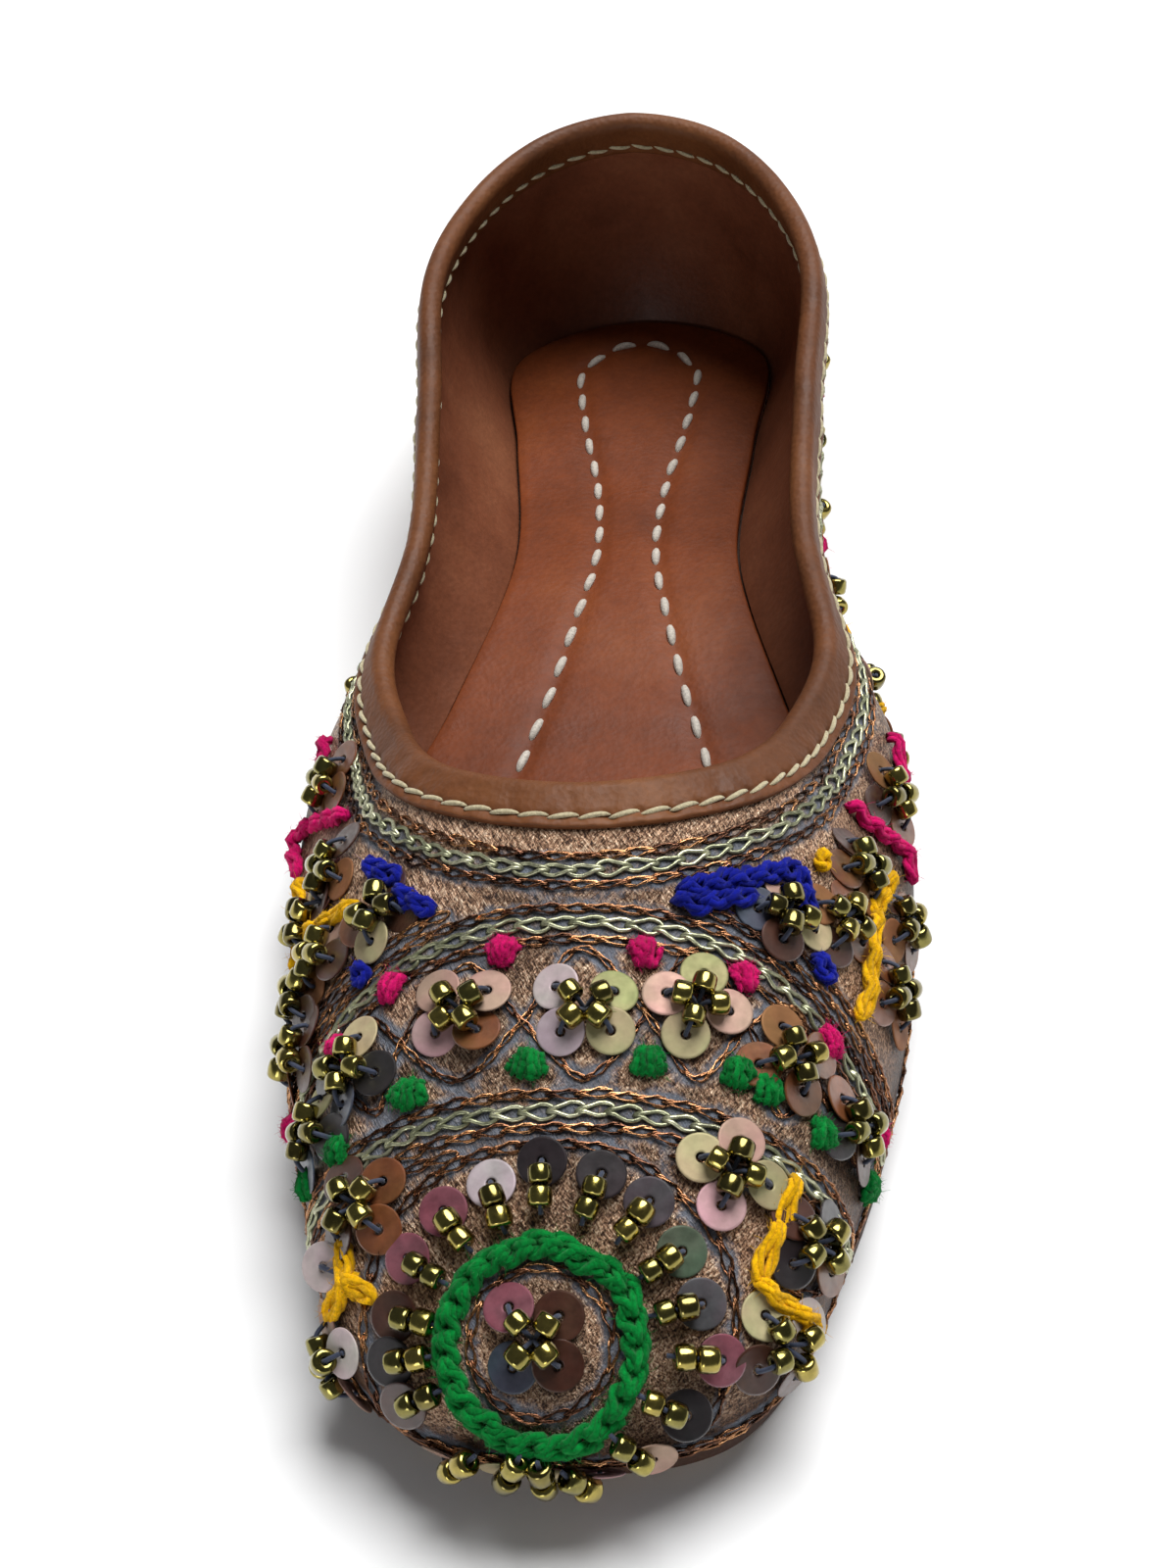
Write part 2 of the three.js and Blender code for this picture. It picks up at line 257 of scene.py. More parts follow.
# Nearest places of the creased wall, with its normals
def on_wall(points):
    found = [wall_tree.find_nearest(Vector(p)) for p in np.reshape(points, (-1, 3))]
    return np.array([f[0] for f in found]), cell_normals[[f[2] for f in found]]


# Places where lines meet the creased wall; a line that passes it takes the nearest place
def meet_wall(starts, runs, reach):
    places = []
    for start, run in zip(starts, runs):
        hit = wall_tree.ray_cast(Vector(start), Vector(run))[0]
        if hit is None:
            along = [wall_tree.find_nearest(Vector(start + run * r)) for r in reach]
            hit = min(along, key=lambda found: found[3])[0]
        places.append(hit)
    return np.array(places)


def photo_axes():
    east = np.array([math.cos(PHOTO_YAW), -math.sin(PHOTO_YAW), 0])
    north = np.array([math.sin(PHOTO_YAW), math.cos(PHOTO_YAW), 0])
    zenith = np.array([0, 0, 1.0])
    ahead = math.cos(PHOTO_PITCH) * north - math.sin(PHOTO_PITCH) * zenith
    down = -math.cos(PHOTO_PITCH) * zenith - math.sin(PHOTO_PITCH) * north
    right = math.cos(PHOTO_ROLL) * east - math.sin(PHOTO_ROLL) * down
    return ahead, right, math.sin(PHOTO_ROLL) * east + math.cos(PHOTO_ROLL) * down


PHOTO_AHEAD, PHOTO_RIGHT, PHOTO_DOWN = photo_axes()
SIGHT_REACH = np.linspace(220, 420, 101)


def sight(pixels):
    pixels = np.asarray(pixels, float).reshape(-1, 2)
    x = (pixels[:, :1] - PHOTO_WIDTH / 2) / PHOTO_FOCAL
    y = (pixels[:, 1:] - PHOTO_HEIGHT / 2) / PHOTO_FOCAL
    return unit(PHOTO_AHEAD + x * PHOTO_RIGHT + y * PHOTO_DOWN)


# Places of the wall that show at pixels of the photograph
def seen(pixels):
    runs = sight(pixels)
    return on_wall(meet_wall([PHOTO_PLACE] * len(runs), runs, SIGHT_REACH))


# Smooth line through a few marks
def through(marks, closed=False, steps=12):
    marks = np.asarray(marks, float)
    if closed:
        marks = np.concatenate([marks[-1:], marks, marks[:2]])
    else:
        marks = np.concatenate([2 * marks[:1] - marks[1:2], marks, 2 * marks[-1:] - marks[-2:-1]])
    t = np.linspace(0, 1, steps, endpoint=False)[:, None]
    line = []
    for a, b, c, d in zip(marks, marks[1:], marks[2:], marks[3:]):
        line.append(b + t / 2 * (c - a + t * (2 * a - 5 * b + 4 * c - d + t * (3 * b - a - 3 * c + d))))
    return np.concatenate(line if closed else line + [marks[-2:-1]])


# A line on the wall that can be asked for its place, normal and run at any distance
class Route:
    STEP = 0.45

    def __init__(self, line, closed=False):
        line = np.asarray(line, float)
        if closed:
            line = np.concatenate([line, line[:1]])
        gone = self.lengths(line)
        count = max(4, int(gone[-1] / self.STEP))
        line = self.between(gone, line, np.linspace(0, gone[-1], count + 1))
        self.points, self.normals = on_wall(line)
        if closed:
            self.points[-1], self.normals[-1] = self.points[0], self.normals[0]
        self.gone = self.lengths(self.points)
        self.length, self.closed = self.gone[-1], closed

    @staticmethod
    def lengths(line):
        return np.concatenate([[0], np.cumsum(np.linalg.norm(np.diff(line, axis=0), axis=1))])

    @staticmethod
    def between(gone, values, s):
        return np.stack([np.interp(s, gone, values[:, i]) for i in range(3)], axis=-1)

    def place(self, s):
        s = s % self.length if self.closed else np.clip(s, 0, self.length)
        return self.between(self.gone, self.points, s), unit(self.between(self.gone, self.normals, s))

    def at(self, s):
        point, normal = self.place(s)
        run = self.place(s + self.STEP)[0] - self.place(s - self.STEP)[0]
        return point, normal, unit(run - normal * dots(run, normal))

    def part(self, first, last):
        return Route(self.place(np.linspace(first, last, 60) * self.length)[0])

    # The same line moved sideways over the wall
    def beside(self, distance):
        s = np.arange(0, self.length, self.STEP)
        point, normal, run = self.at(s)
        return Route(point + np.cross(run, normal) * distance, self.closed)


def seen_route(pixels, closed=False):
    return Route(seen(through(pixels, closed))[0], closed)


ROUTE_STATIONS = 600


# Line of the collar braid, moved down the side by a shift
def collar_route(shift):
    laps = lap_stations(ROUTE_STATIONS)
    near_throat = np.exp(-((2 * laps - 1) / COLLAR_BRAID["ease"]) ** 2)
    drop = COLLAR_BRAID["quarter"] + (COLLAR_BRAID["throat"] - COLLAR_BRAID["quarter"]) * near_throat
    rises = rise_below(laps, (drop + shift)[:, None])[:, 0]
    return Route(wall(laps, rises), closed=True)


# Line at a share of the wall's height above the feather line
def feather_route(rise):
    laps = lap_stations(ROUTE_STATIONS)
    return Route(wall(laps, np.full(len(laps), rise)), closed=True)


CROSS_MARKS, CROSS_ROUNDS = 90, 5
CROSS_REACH = np.linspace(5, 50, 60)


# Line across the vamp: at one place along the foot, swept towards the toe at its ends
def cross_route(along, sweep, reach):
    marks = []
    for degrees in np.linspace(-reach, reach, CROSS_MARKS):
        turn = math.radians(degrees)
        run = np.array([math.sin(turn), 0, math.cos(turn)])
        x = 0.0
        for _ in range(CROSS_ROUNDS):
            y = along - sweep * abs(2 * x / BALL_WIDTH) ** 3
            start = np.array([0, y, CROSS_AXIS_HEIGHT])
            place = meet_wall([start], [run], CROSS_REACH)[0]
            x = place[0]
        marks.append(place)
    return Route(marks)


ABOVE_SHOE = 80.0
RING_MARKS, RING_START = 80, 15  # marks round the ring, and mm off the toe from which they are dropped on it
RING_REACH = np.linspace(5, 30, 40)
ring_start = np.array([RING["side"], RING["along"], ABOVE_SHOE])
ring_hit = meet_wall([ring_start], [np.array([0, 0, -1.0])], [ABOVE_SHOE / 2])
ring_middle, ring_normal = (v[0] for v in on_wall(ring_hit))
ring_up = laid(np.array([0, 1.0, 0]), ring_normal)
ring_side = np.cross(ring_up, ring_normal)


def ring_route(radius):
    turn = np.linspace(0, 2 * np.pi, RING_MARKS, endpoint=False)[:, None]
    flat = ring_middle + radius * (np.cos(turn) * ring_side + np.sin(turn) * ring_up)
    starts = flat + ring_normal * RING_START
    return Route(meet_wall(starts, [-ring_normal] * len(starts), RING_REACH), closed=True)


# Frame that runs along K paths of M points: run, side and lift
def framed(paths, ups, closed):
    if closed:
        run = unit(np.roll(paths, -1, axis=1) - np.roll(paths, 1, axis=1))
    else:
        run = unit(np.gradient(paths, axis=1))
    side = unit(np.cross(run, ups))
    return run, side, np.cross(side, run)


def new_object(name, data):
    obj = bpy.data.objects.new(name, data)
    bpy.context.scene.collection.objects.link(obj)
    return obj


# One joined mesh in the making
class Build:
    def __init__(self):
        self.points, self.faces, self.tints, self.kinds = [], [], [], []
        self.count = 0

    def add(self, points, faces, tint=(1, 1, 1), kind=0):
        points = np.reshape(points, (-1, 3))
        self.points.append(points)
        self.faces += (np.asarray(faces) + self.count).tolist()
        self.kinds += [kind] * len(faces)
        self.tints.append(np.broadcast_to(tint, points.shape))
        self.count += len(points)

    # Round tubes along K paths of M points; tint is one colour or one per path
    def tubes(self, paths, ups, radius, sides=4, closed=False, tint=(1, 1, 1)):
        count, steps = paths.shape[:2]
        _, side, lift = framed(paths, ups, closed)
        turn = (np.arange(sides) + 0.5) * 2 * np.pi / sides
        thick = np.broadcast_to(radius, (count, steps))[..., None, None]
        ring = np.cos(turn)[:, None] * side[:, :, None] + np.sin(turn)[:, None] * lift[:, :, None]
        points = paths[:, :, None] + thick * ring
        index = np.arange(count * steps * sides).reshape(count, steps, sides)
        over = np.roll(index, -1, axis=2)
        if closed:
            a, b, c, d = index, np.roll(index, -1, axis=1), np.roll(over, -1, axis=1), over
        else:
            a, b, c, d = index[:, :-1], index[:, 1:], over[:, 1:], over[:, :-1]
        tint = np.broadcast_to(np.reshape(tint, (-1, 1, 1, 3)), (count, steps, sides, 3))
        base = self.count
        self.add(points, np.stack([a, b, c, d], axis=-1).reshape(-1, 4), tint.reshape(-1, 3))
        if not closed:
            caps = np.concatenate([index[:, 0], index[:, -1, ::-1]])
            self.faces += (caps + base).tolist()
            self.kinds += [0] * len(caps)

    # Copies of a shape in K frames given by origins and axes
    def stamp(self, shape, origins, x, y, z, tint=(1, 1, 1)):
        points, faces = shape
        local = sum(points[None, :, i, None] * axis[:, None] for i, axis in enumerate((x, y, z)))
        placed = origins[:, None] + local
        shift = len(points) * np.arange(len(origins))
        faces = (faces[None] + shift[:, None, None]).reshape(-1, faces.shape[1])
        tint = np.broadcast_to(np.reshape(tint, (-1, 1, 3)), placed.shape)
        self.add(placed, faces, tint.reshape(-1, 3))

    def make(self, name, materials, slot, replaced=()):
        mesh = bpy.data.meshes.new(name)
        mesh.from_pydata((np.concatenate(self.points) * MM).tolist(), [], self.faces, shade_flat=False)
        tints = np.concatenate(self.tints)
        tints = np.concatenate([tints, np.ones((len(tints), 1))], axis=1).astype(np.float32)
        mesh.color_attributes.new("tint", "FLOAT_COLOR", "POINT").data.foreach_set("color", tints.ravel())
        for material in materials:
            mesh.materials.append(material)
        mesh.polygons.foreach_set("material_index", np.array(self.kinds, np.int32))
        mesh.validate()
        obj = new_object(name, mesh)
        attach(obj, "root")
        if replaced:
            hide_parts(*replaced)
        return obj


def srgb(red, green, blue):
    share = np.array([red, green, blue]) / 255
    return np.where(share <= 0.04045, share / 12.92, ((share + 0.055) / 1.055) ** 2.4)


# Materials
class Nodes:
    def __init__(self, name):
        self.material = bpy.data.materials.new(name)
        self.material.use_nodes = True
        self.tree = self.material.node_tree
        self.shader = self.tree.nodes["Principled BSDF"]
        self.place = self.tree.nodes.new("ShaderNodeTexCoord").outputs["Object"]

    def new(self, kind, out=0, **inputs):
        node = self.tree.nodes.new("ShaderNode" + kind)
        for name, value in inputs.items():
            if hasattr(node, name):
                setattr(node, name, value)
            else:
                self.put(node.inputs[name.replace("_", " ")], value)
        return node.outputs[out]

    def put(self, socket, value):
        if isinstance(value, bpy.types.NodeSocket):
            self.tree.links.new(value, socket)
        elif hasattr(socket.default_value, "__len__"):
            value = tuple(value)
            socket.default_value = value + (1.0,) * (len(socket.default_value) - len(value))
        else:
            socket.default_value = value

    def set(self, **inputs):
        for name, value in inputs.items():
            self.put(self.shader.inputs[name.replace("_", " ")], value)

    def noise(self, scale, detail=4.0, rough=0.55, vector=None, warp=0.0):
        return self.new("TexNoise", Vector=vector or self.place, Scale=scale, Detail=detail,
                        Roughness=rough, Distortion=warp)

    # Places in which a noise turns into streaks along the foot, at a slant in degrees
    def drawn_out(self, narrow, slant):
        return self.new("Mapping", vector_type="TEXTURE", Vector=self.place, Scale=(narrow, 1, narrow),
                        Rotation=(0, 0, math.radians(slant)))

    def cells(self, scale):
        return self.new("TexVoronoi", "Distance", Vector=self.place, Scale=scale)

    def ramp(self, value, *stops):
        node = self.tree.nodes.new("ShaderNodeValToRGB")
        self.tree.links.new(value, node.inputs[0])
        ends = node.color_ramp.elements
        while len(ends) < len(stops):
            ends.new(0.5)
        for end, (at, colour) in zip(ends, stops):
            end.position = at
            end.color = (*colour, 1) if hasattr(colour, "__len__") else (colour, colour, colour, 1)
        return node.outputs[0]

    # Value or colour that drifts between two over the surface
    def drift(self, scale, low, high, detail=4.0, rough=0.6):
        return self.ramp(self.noise(scale, detail, rough), (0.3, low), (0.7, high))

    def mix(self, share, a, b, blend="MIX"):
        node = self.tree.nodes.new("ShaderNodeMix")
        node.data_type, node.blend_type = "RGBA", blend
        self.put(node.inputs[0], share)
        self.put(node.inputs[6], a)
        self.put(node.inputs[7], b)
        return node.outputs[2]

    def times(self, a, b):
        return self.mix(1.0, a, b, "MULTIPLY")

    def math(self, operation, a, b=0.0):
        node = self.tree.nodes.new("ShaderNodeMath")
        node.operation = operation
        self.put(node.inputs[0], a)
        self.put(node.inputs[1], b)
        return node.outputs[0]

    def bump(self, height, strength, distance, under=None):
        below = {"Normal": under} if under else {}
        return self.new("Bump", Strength=strength, Distance=distance, Height=height, **below)

    def tint(self, channel=None):
        colour = self.new("Attribute", "Color", attribute_name="tint")
        return self.new("SeparateColor", channel, Color=colour) if channel else colour


# Leather; where the red of its tint is 1 it takes the dark burnish, if there is one: on the sole a burnished
# edge that also serves as painted shade, and painted shade on its top where it shows in the gap round the
# insole
def leather(name, dark, mid, light, gloss, grain, wrinkle, coat, shine=0.24, burnish_and_shade=None):
    n = Nodes(name)
    mottle = n.ramp(n.noise(38, 5, 0.6), (0.3, dark), (0.52, mid), (0.75, light))
    if burnish_and_shade is not None:
        mottle = n.mix(n.tint("Red"), mottle, n.drift(140, burnish_and_shade * 0.6, burnish_and_shade))
    n.set(Base_Color=n.times(mottle, n.drift(900, 0.86, 1.06, 3)))
    n.set(Roughness=n.drift(120, gloss - 0.06, gloss + 0.08))
    pores = n.bump(n.cells(1150), grain, 0.00016)
    folds = n.bump(n.noise(160, 6, 0.62, warp=1.2), wrinkle, 0.0007, pores)
    n.set(Normal=folds, Coat_Weight=coat, Coat_Roughness=0.3, Specular_IOR_Level=shine)
    return n.material


THROAT_HIGHLIGHT = 0.85  # painted highlight: brightness of the foil on the strip at the throat
# Painted shade that darkens the foil on the steep sides
FOIL_SIDE_SHADE = srgb(118, 96, 78)


# Crinkled copper foil on grey leather, rubbed off in patches and beside the sewn lines; its colour carries
# painted shade and highlights on the crinkles, a painted highlight at the throat and painted shade on the
# steep sides
def foil_leather():
    n = Nodes("foil_leather")
    one = n.noise(560, 2, 0.5, n.drawn_out(0.15, 30), 0.9)
    other = n.noise(660, 2, 0.5, n.drawn_out(0.17, -34), 0.9)
    crinkle = n.math("ADD", n.math("MULTIPLY", one, 0.55), n.math("MULTIPLY", other, 0.45))
    # Colour from the crinkle's height: the foil's own copper, with painted shade in the valleys and painted
    # highlights on the tops
    copper = n.ramp(crinkle, (0.39, srgb(58, 41, 34)), (0.47, srgb(134, 98, 74)),
                    (0.54, srgb(204, 164, 132)), (0.63, srgb(246, 218, 188)))
    cloud = n.ramp(n.noise(75, 4, 0.6), (0.32, 0.32), (0.58, 0.88))
    # Painted highlight: the strip at the throat (green of the tint) takes a bright even tone
    cloud = n.mix(n.tint("Green"), cloud, (THROAT_HIGHLIGHT,) * 3)
    # Painted shade: the foil darkens on the steep sides (blue of the tint)
    cloud = n.mix(n.tint("Blue"), cloud, n.times(cloud, FOIL_SIDE_SHADE))
    copper = n.times(copper, cloud)
    ground = n.drift(420, srgb(54, 59, 68), srgb(118, 128, 143), 5, 0.65)
    patch = n.math("MULTIPLY", n.noise(150, 6, 0.7, warp=0.5), 0.9)
    sewn, highlit = n.math("MULTIPLY", n.tint("Red"), 0.34), n.math("MULTIPLY", n.tint("Green"), 0.2)
    # Wear beside the sewn lines, less where the painted highlight lies
    wear_and_painted_light = n.math("SUBTRACT", sewn, highlit)
    worn = n.ramp(n.math("ADD", patch, wear_and_painted_light), (0.58, 0.0), (0.74, 0.9))
    n.set(Base_Color=n.mix(worn, copper, ground))
    n.set(Metallic=n.ramp(worn, (0.0, 0.65), (1.0, 0.0)), Roughness=n.ramp(worn, (0.0, 0.38), (1.0, 0.62)))
    rough = n.bump(n.noise(1500, 4, 0.65), 0.35, 0.0002)
    n.set(Normal=n.bump(crinkle, 0.9, 0.0008, rough), Specular_IOR_Level=0.5)
    return n.material


def thread_metal(name, gloss, dark, metal):
    n = Nodes(name)
    n.set(Base_Color=n.times(n.tint(), n.drift(1400, dark, 1.25, 3)), Metallic=metal)
    n.set(Roughness=n.drift(2200, gloss - 0.08, gloss + 0.1, 2, 0.5))
    n.set(Normal=n.bump(n.noise(5200, 2, 0.5), 0.35, 0.00008))
    return n.material


def wool():
    n = Nodes("wool")
    shade = n.ramp(n.noise(1900, 5, 0.7), (0.28, 0.5), (0.72, 1.2))
    n.set(Base_Color=n.times(n.tint(), shade), Roughness=0.95)
    n.set(Sheen_Weight=0.08, Sheen_Roughness=0.5, Specular_IOR_Level=0.05)
    n.set(Normal=n.bump(n.noise(4600, 4, 0.7), 0.8, 0.00022))
    return n.material


# Sheet of a sequin with clouds, a play of two hues and dents; fine holds the scales of its noises
def sequin_sheet(name, fine, shades, hues, gloss, **finish):
    n = Nodes(name)
    play = n.ramp(n.noise(fine["play"], 2, 0.5), (0.36, hues[0]), (0.64, hues[1]))
    n.set(Base_Color=n.times(n.times(n.tint(), n.drift(fine["cloud"], *shades)), play), **finish)
    n.set(Roughness=n.drift(fine["gloss"], *gloss, 3))
    n.set(Normal=n.bump(n.noise(fine["dent"], 3, 0.5), 0.2, 0.0002))
    return n.material


def bead_glass():
    n = Nodes("bead_glass")
    n.set(Base_Color=n.times(n.tint(), n.drift(900, 0.7, 1.15, 3)), Metallic=1.0)
    n.set(Roughness=n.drift(1600, 0.1, 0.24, 3), Coat_Weight=0.4, Coat_Roughness=0.05)
    return n.material


def cotton(name, colour):
    n = Nodes(name)
    strands = n.noise(2600, 3, 0.6)
    n.set(Base_Color=n.ramp(strands, (0.3, colour * 0.55), (0.7, colour)), Roughness=0.75, Sheen_Weight=0.2)
    n.set(Normal=n.bump(strands, 0.6, 0.00012))
    return n.material


def tints(**colours):
    return {name: srgb(*colour) for name, colour in colours.items()}


TAN = leather("binding_tan", srgb(78, 44, 22), srgb(102, 59, 30), srgb(120, 75, 42), 0.56, 0.5, 0.2, 0.0)
COGNAC = leather("lining_cognac", srgb(90, 49, 32), srgb(116, 67, 45), srgb(134, 84, 58),
                 0.46, 0.25, 0.22, 0.06)
PAD = leather("insole_cognac", srgb(90, 42, 18), srgb(112, 54, 24), srgb(127, 67, 33), 0.5, 0.25, 0.18, 0.0,
              shine=0.15)
# Sole: cream leather whose dark burnish marks its edge, also as painted shade, and its top as painted shade
# in the gap round the insole
SOLE = leather("sole_cream", srgb(164, 128, 88), srgb(200, 166, 124), srgb(216, 190, 152),
               0.62, 0.4, 0.35, 0.0, burnish_and_shade=srgb(66, 42, 30))
FOIL = foil_leather()
TILLA = thread_metal("tilla_pale_gold", 0.32, 0.6, 0.75)
COPPER = thread_metal("copper_thread", 0.26, 0.3, 1.0)
WOOL = wool()
FILM = sequin_sheet("sequin_film", {"cloud": 420, "play": 170, "gloss": 800, "dent": 600}, (0.76, 1.08),
                    ((1.0, 0.9, 0.93), (0.93, 1.0, 0.9)), (0.42, 0.58),
                    Metallic=0.2, Specular_IOR_Level=0.15, Specular_Tint=srgb(176, 170, 166))
CLEAR = sequin_sheet("sequin_clear", {"cloud": 500, "play": 190, "gloss": 900, "dent": 700}, (0.6, 1.1),
                     ((1.0, 0.88, 0.9), (0.88, 1.0, 0.94)), (0.4, 0.56), Metallic=0.1, IOR=1.48,
                     Transmission_Weight=0.22, Specular_IOR_Level=0.12, Specular_Tint=srgb(150, 144, 142))
GLASS = bead_glass()
CREAM = cotton("cream_thread", srgb(194, 182, 146))
WHITE = cotton("white_thread", srgb(206, 197, 184))
SLATE = cotton("slate_thread", srgb(42, 52, 76))

PALE_GOLD_TINTS = (srgb(170, 171, 140), srgb(150, 152, 122), srgb(184, 184, 154))
COPPER_TINTS = (srgb(142, 98, 72), srgb(172, 122, 86), srgb(102, 70, 54), srgb(208, 154, 108))
BEAD_TINTS = (srgb(146, 134, 66), srgb(126, 118, 60), srgb(158, 142, 70), srgb(112, 102, 50))
WOOL_TINTS = tints(green=(0, 122, 48), pink=(206, 16, 100), blue=(16, 26, 138), yellow=(236, 178, 8))
FILM_TINTS = tints(
    rose=(170, 140, 128), sand=(166, 157, 122), olive=(136, 136, 96), silver=(190, 181, 180),
    cream=(186, 175, 138), pink=(180, 146, 150), lilac=(182, 168, 176), tan=(134, 94, 64))
CLEAR_TINTS = tints(
    grey=(84, 79, 84), smoke=(44, 39, 42), copper=(122, 74, 44), plum=(134, 78, 90),
    brown=(76, 46, 36), sea=(92, 106, 88), slate=(76, 82, 98))

WEAR_REACH = 1.5
# Painted highlight at the throat: mm below the topline where it ends, its fade, and its spread round from
# the throat
HIGHLIGHT_DROP, HIGHLIGHT_FADE, HIGHLIGHT_EASE = 9.2, 1.5, 0.2
SIDE_SHADE_SLOPES = (0.12, 0.78)  # painted shade fades from a steep side to the level top


# Distances of places from the nearest sewn line
class Sewn:
    def __init__(self, routes):
        places = np.concatenate([route.points for route in routes])
        self.tree = KDTree(len(places))
        for i, place in enumerate(places):
            self.tree.insert(Vector(place), i)
        self.tree.balance()

    def away(self, points):
        return np.array([self.tree.find(Vector(point))[2] for point in np.reshape(points, (-1, 3))])


# How far the needle has worn the foil off, from 1 on a sewn line to 0 away from it
def needle_wear(sewn):
    return np.exp(-(sewn.away(wall_points) / WEAR_REACH) ** 2)


# Painted highlight of the foil: 1 on the strip between the binding and the collar's chains at the throat,
# where the foil is also drawn less worn
def throat_highlight():
    gone = np.linalg.norm(np.diff(wall_points[:, ::-1], axis=1), axis=2).cumsum(axis=1)
    drop = np.concatenate([np.zeros((WALL_LAPS, 1)), gone], axis=1)[:, ::-1]
    throat = np.exp(-((2 * wall_laps - 1) / HIGHLIGHT_EASE) ** 2)[:, None]
    return (throat * (1 - smooth(HIGHLIGHT_DROP - HIGHLIGHT_FADE, HIGHLIGHT_DROP + HIGHLIGHT_FADE, drop))).ravel()


# Upper: embroidered face outside, lining inside; its tint holds wear (red), a painted highlight at the
# throat (green) and painted shade on the steep sides (blue)
def make_upper(sewn):
    build = Build()
    inner = wall_points - wall_normals * WALL
    # Painted shade: 1 on the steep sides, 0 on the level top
    side_shade = 1 - smooth(*SIDE_SHADE_SLOPES, wall_normals[..., 2]).ravel()
    state = np.stack([needle_wear(sewn), throat_highlight(), side_shade], axis=-1)
    build.add(wall_points, grid_faces(WALL_LAPS, WALL_RISES + 1, wrap_rows=True), state, kind=0)
    lining = inner[::2, ::2]
    build.add(lining, grid_faces(*lining.shape[:2], wrap_rows=True)[:, ::-1], (0, 0, 0), kind=1)
    for edge, flip in ((0, -1), (WALL_RISES, 1)):
        rim = np.stack([wall_points[:, edge], inner[:, edge]], axis=1)
        build.add(rim, grid_faces(WALL_LAPS, 2, wrap_rows=True)[:, ::flip], (0, 0, 0), kind=1)
    build.make("embroidered_upper", [FOIL, COGNAC], "upper_leather", ["upper"])


# Binding: folded strip with a rolled edge, a sunk stitch line with pulled-in holes, and gathers
STITCH_DROP = 3.9
# Depths of the sunk line, of its wave from stitch to stitch and of the holes, each with its half width
STITCH_SINK, SINK_HALF = 0.24, 0.6
STITCH_WAVE, WAVE_HALF = 0.08, 1.2
STITCH_HOLE, HOLE_HALF_LONG, HOLE_HALF_HIGH = 0.3, 0.42, 0.7
HOLE_LEAN, GATHER_LEAN = 0.5, 0.25  # mm along the seam for each mm down
GATHER_LEVEL = 3  # mm below the topline at which a gather has its place along the seam
GATHER_EASE = (-1.5, 2.0)  # mm below the topline between which it deepens
INNER_PUSH = 0.6  # share of this relief on the inner leg
BINDING_STITCH = {"pitch": 3.95, "half": 2.15, "thick": 0.27, "lift": 0.16}
BINDING_STITCH_LEAN = 0.26
BINDING_STITCH_BED = {1: 0.24, -1: 0.2}  # how far the outer and the inner row lie in the leather
BINDING_STATIONS = 900
FOLD_STEPS = 13
CUT_LIPS = (0.32, 0.08)  # the cut edge is rounded off
# Rows of the binding's leg: mm below the topline, closer together at the stitch line
LEG_DROPS = np.array([BINDING_LEG, 5.42, 5.2, 4.9, 4.6, 4.35, 4.12, STITCH_DROP,
                      3.68, 3.45, 3.15, 2.75, 2.2, 1.6, 1.0, 0.4])
LEG_MIDDLE = 6  # row at which the hidden face of the leg has its middle mark
# Gathers of the binding: distance from the throat's middle, half width and depth in mm
GATHERS = (
    (-38, 2.2, 0.16), (-31, 1.6, 0.22), (-24.5, 1.3, -0.14), (-19, 1.8, 0.24), (-12.5, 1.2, 0.2),
    (-8, 1.0, -0.16), (-4, 1.5, 0.26), (1.5, 1.1, 0.18), (5, 1.0, -0.16), (9.5, 1.6, 0.24),
    (15, 1.2, 0.18), (20.5, 1.7, -0.16), (26, 1.5, 0.22), (33, 2.0, 0.18), (40, 2.2, 0.14),
)


# How far the leather stands off along the seam's length and down from the topline
def binding_lift(gone, total, drop):
    below = drop - STITCH_DROP
    pitch = total / round(total / BINDING_STITCH["pitch"])
    lift = -STITCH_SINK * np.exp(-(below / SINK_HALF) ** 2)
    lift = lift - STITCH_WAVE * np.cos(2 * np.pi * gone / pitch) * np.exp(-(below / WAVE_HALF) ** 2)
    hole = (gone + HOLE_LEAN * below + pitch / 2) % pitch - pitch / 2
    lift = lift - STITCH_HOLE * np.exp(-(hole / HOLE_HALF_LONG) ** 2 - (below / HOLE_HALF_HIGH) ** 2)
    for at, wide, depth in GATHERS:
        away = (gone - total / 2 - at - GATHER_LEAN * (drop - GATHER_LEVEL)) / wide
        lift = lift - depth * np.exp(-away ** 2) * (1 - 0.5 * away ** 2) * smooth(*GATHER_EASE, drop)
    return lift


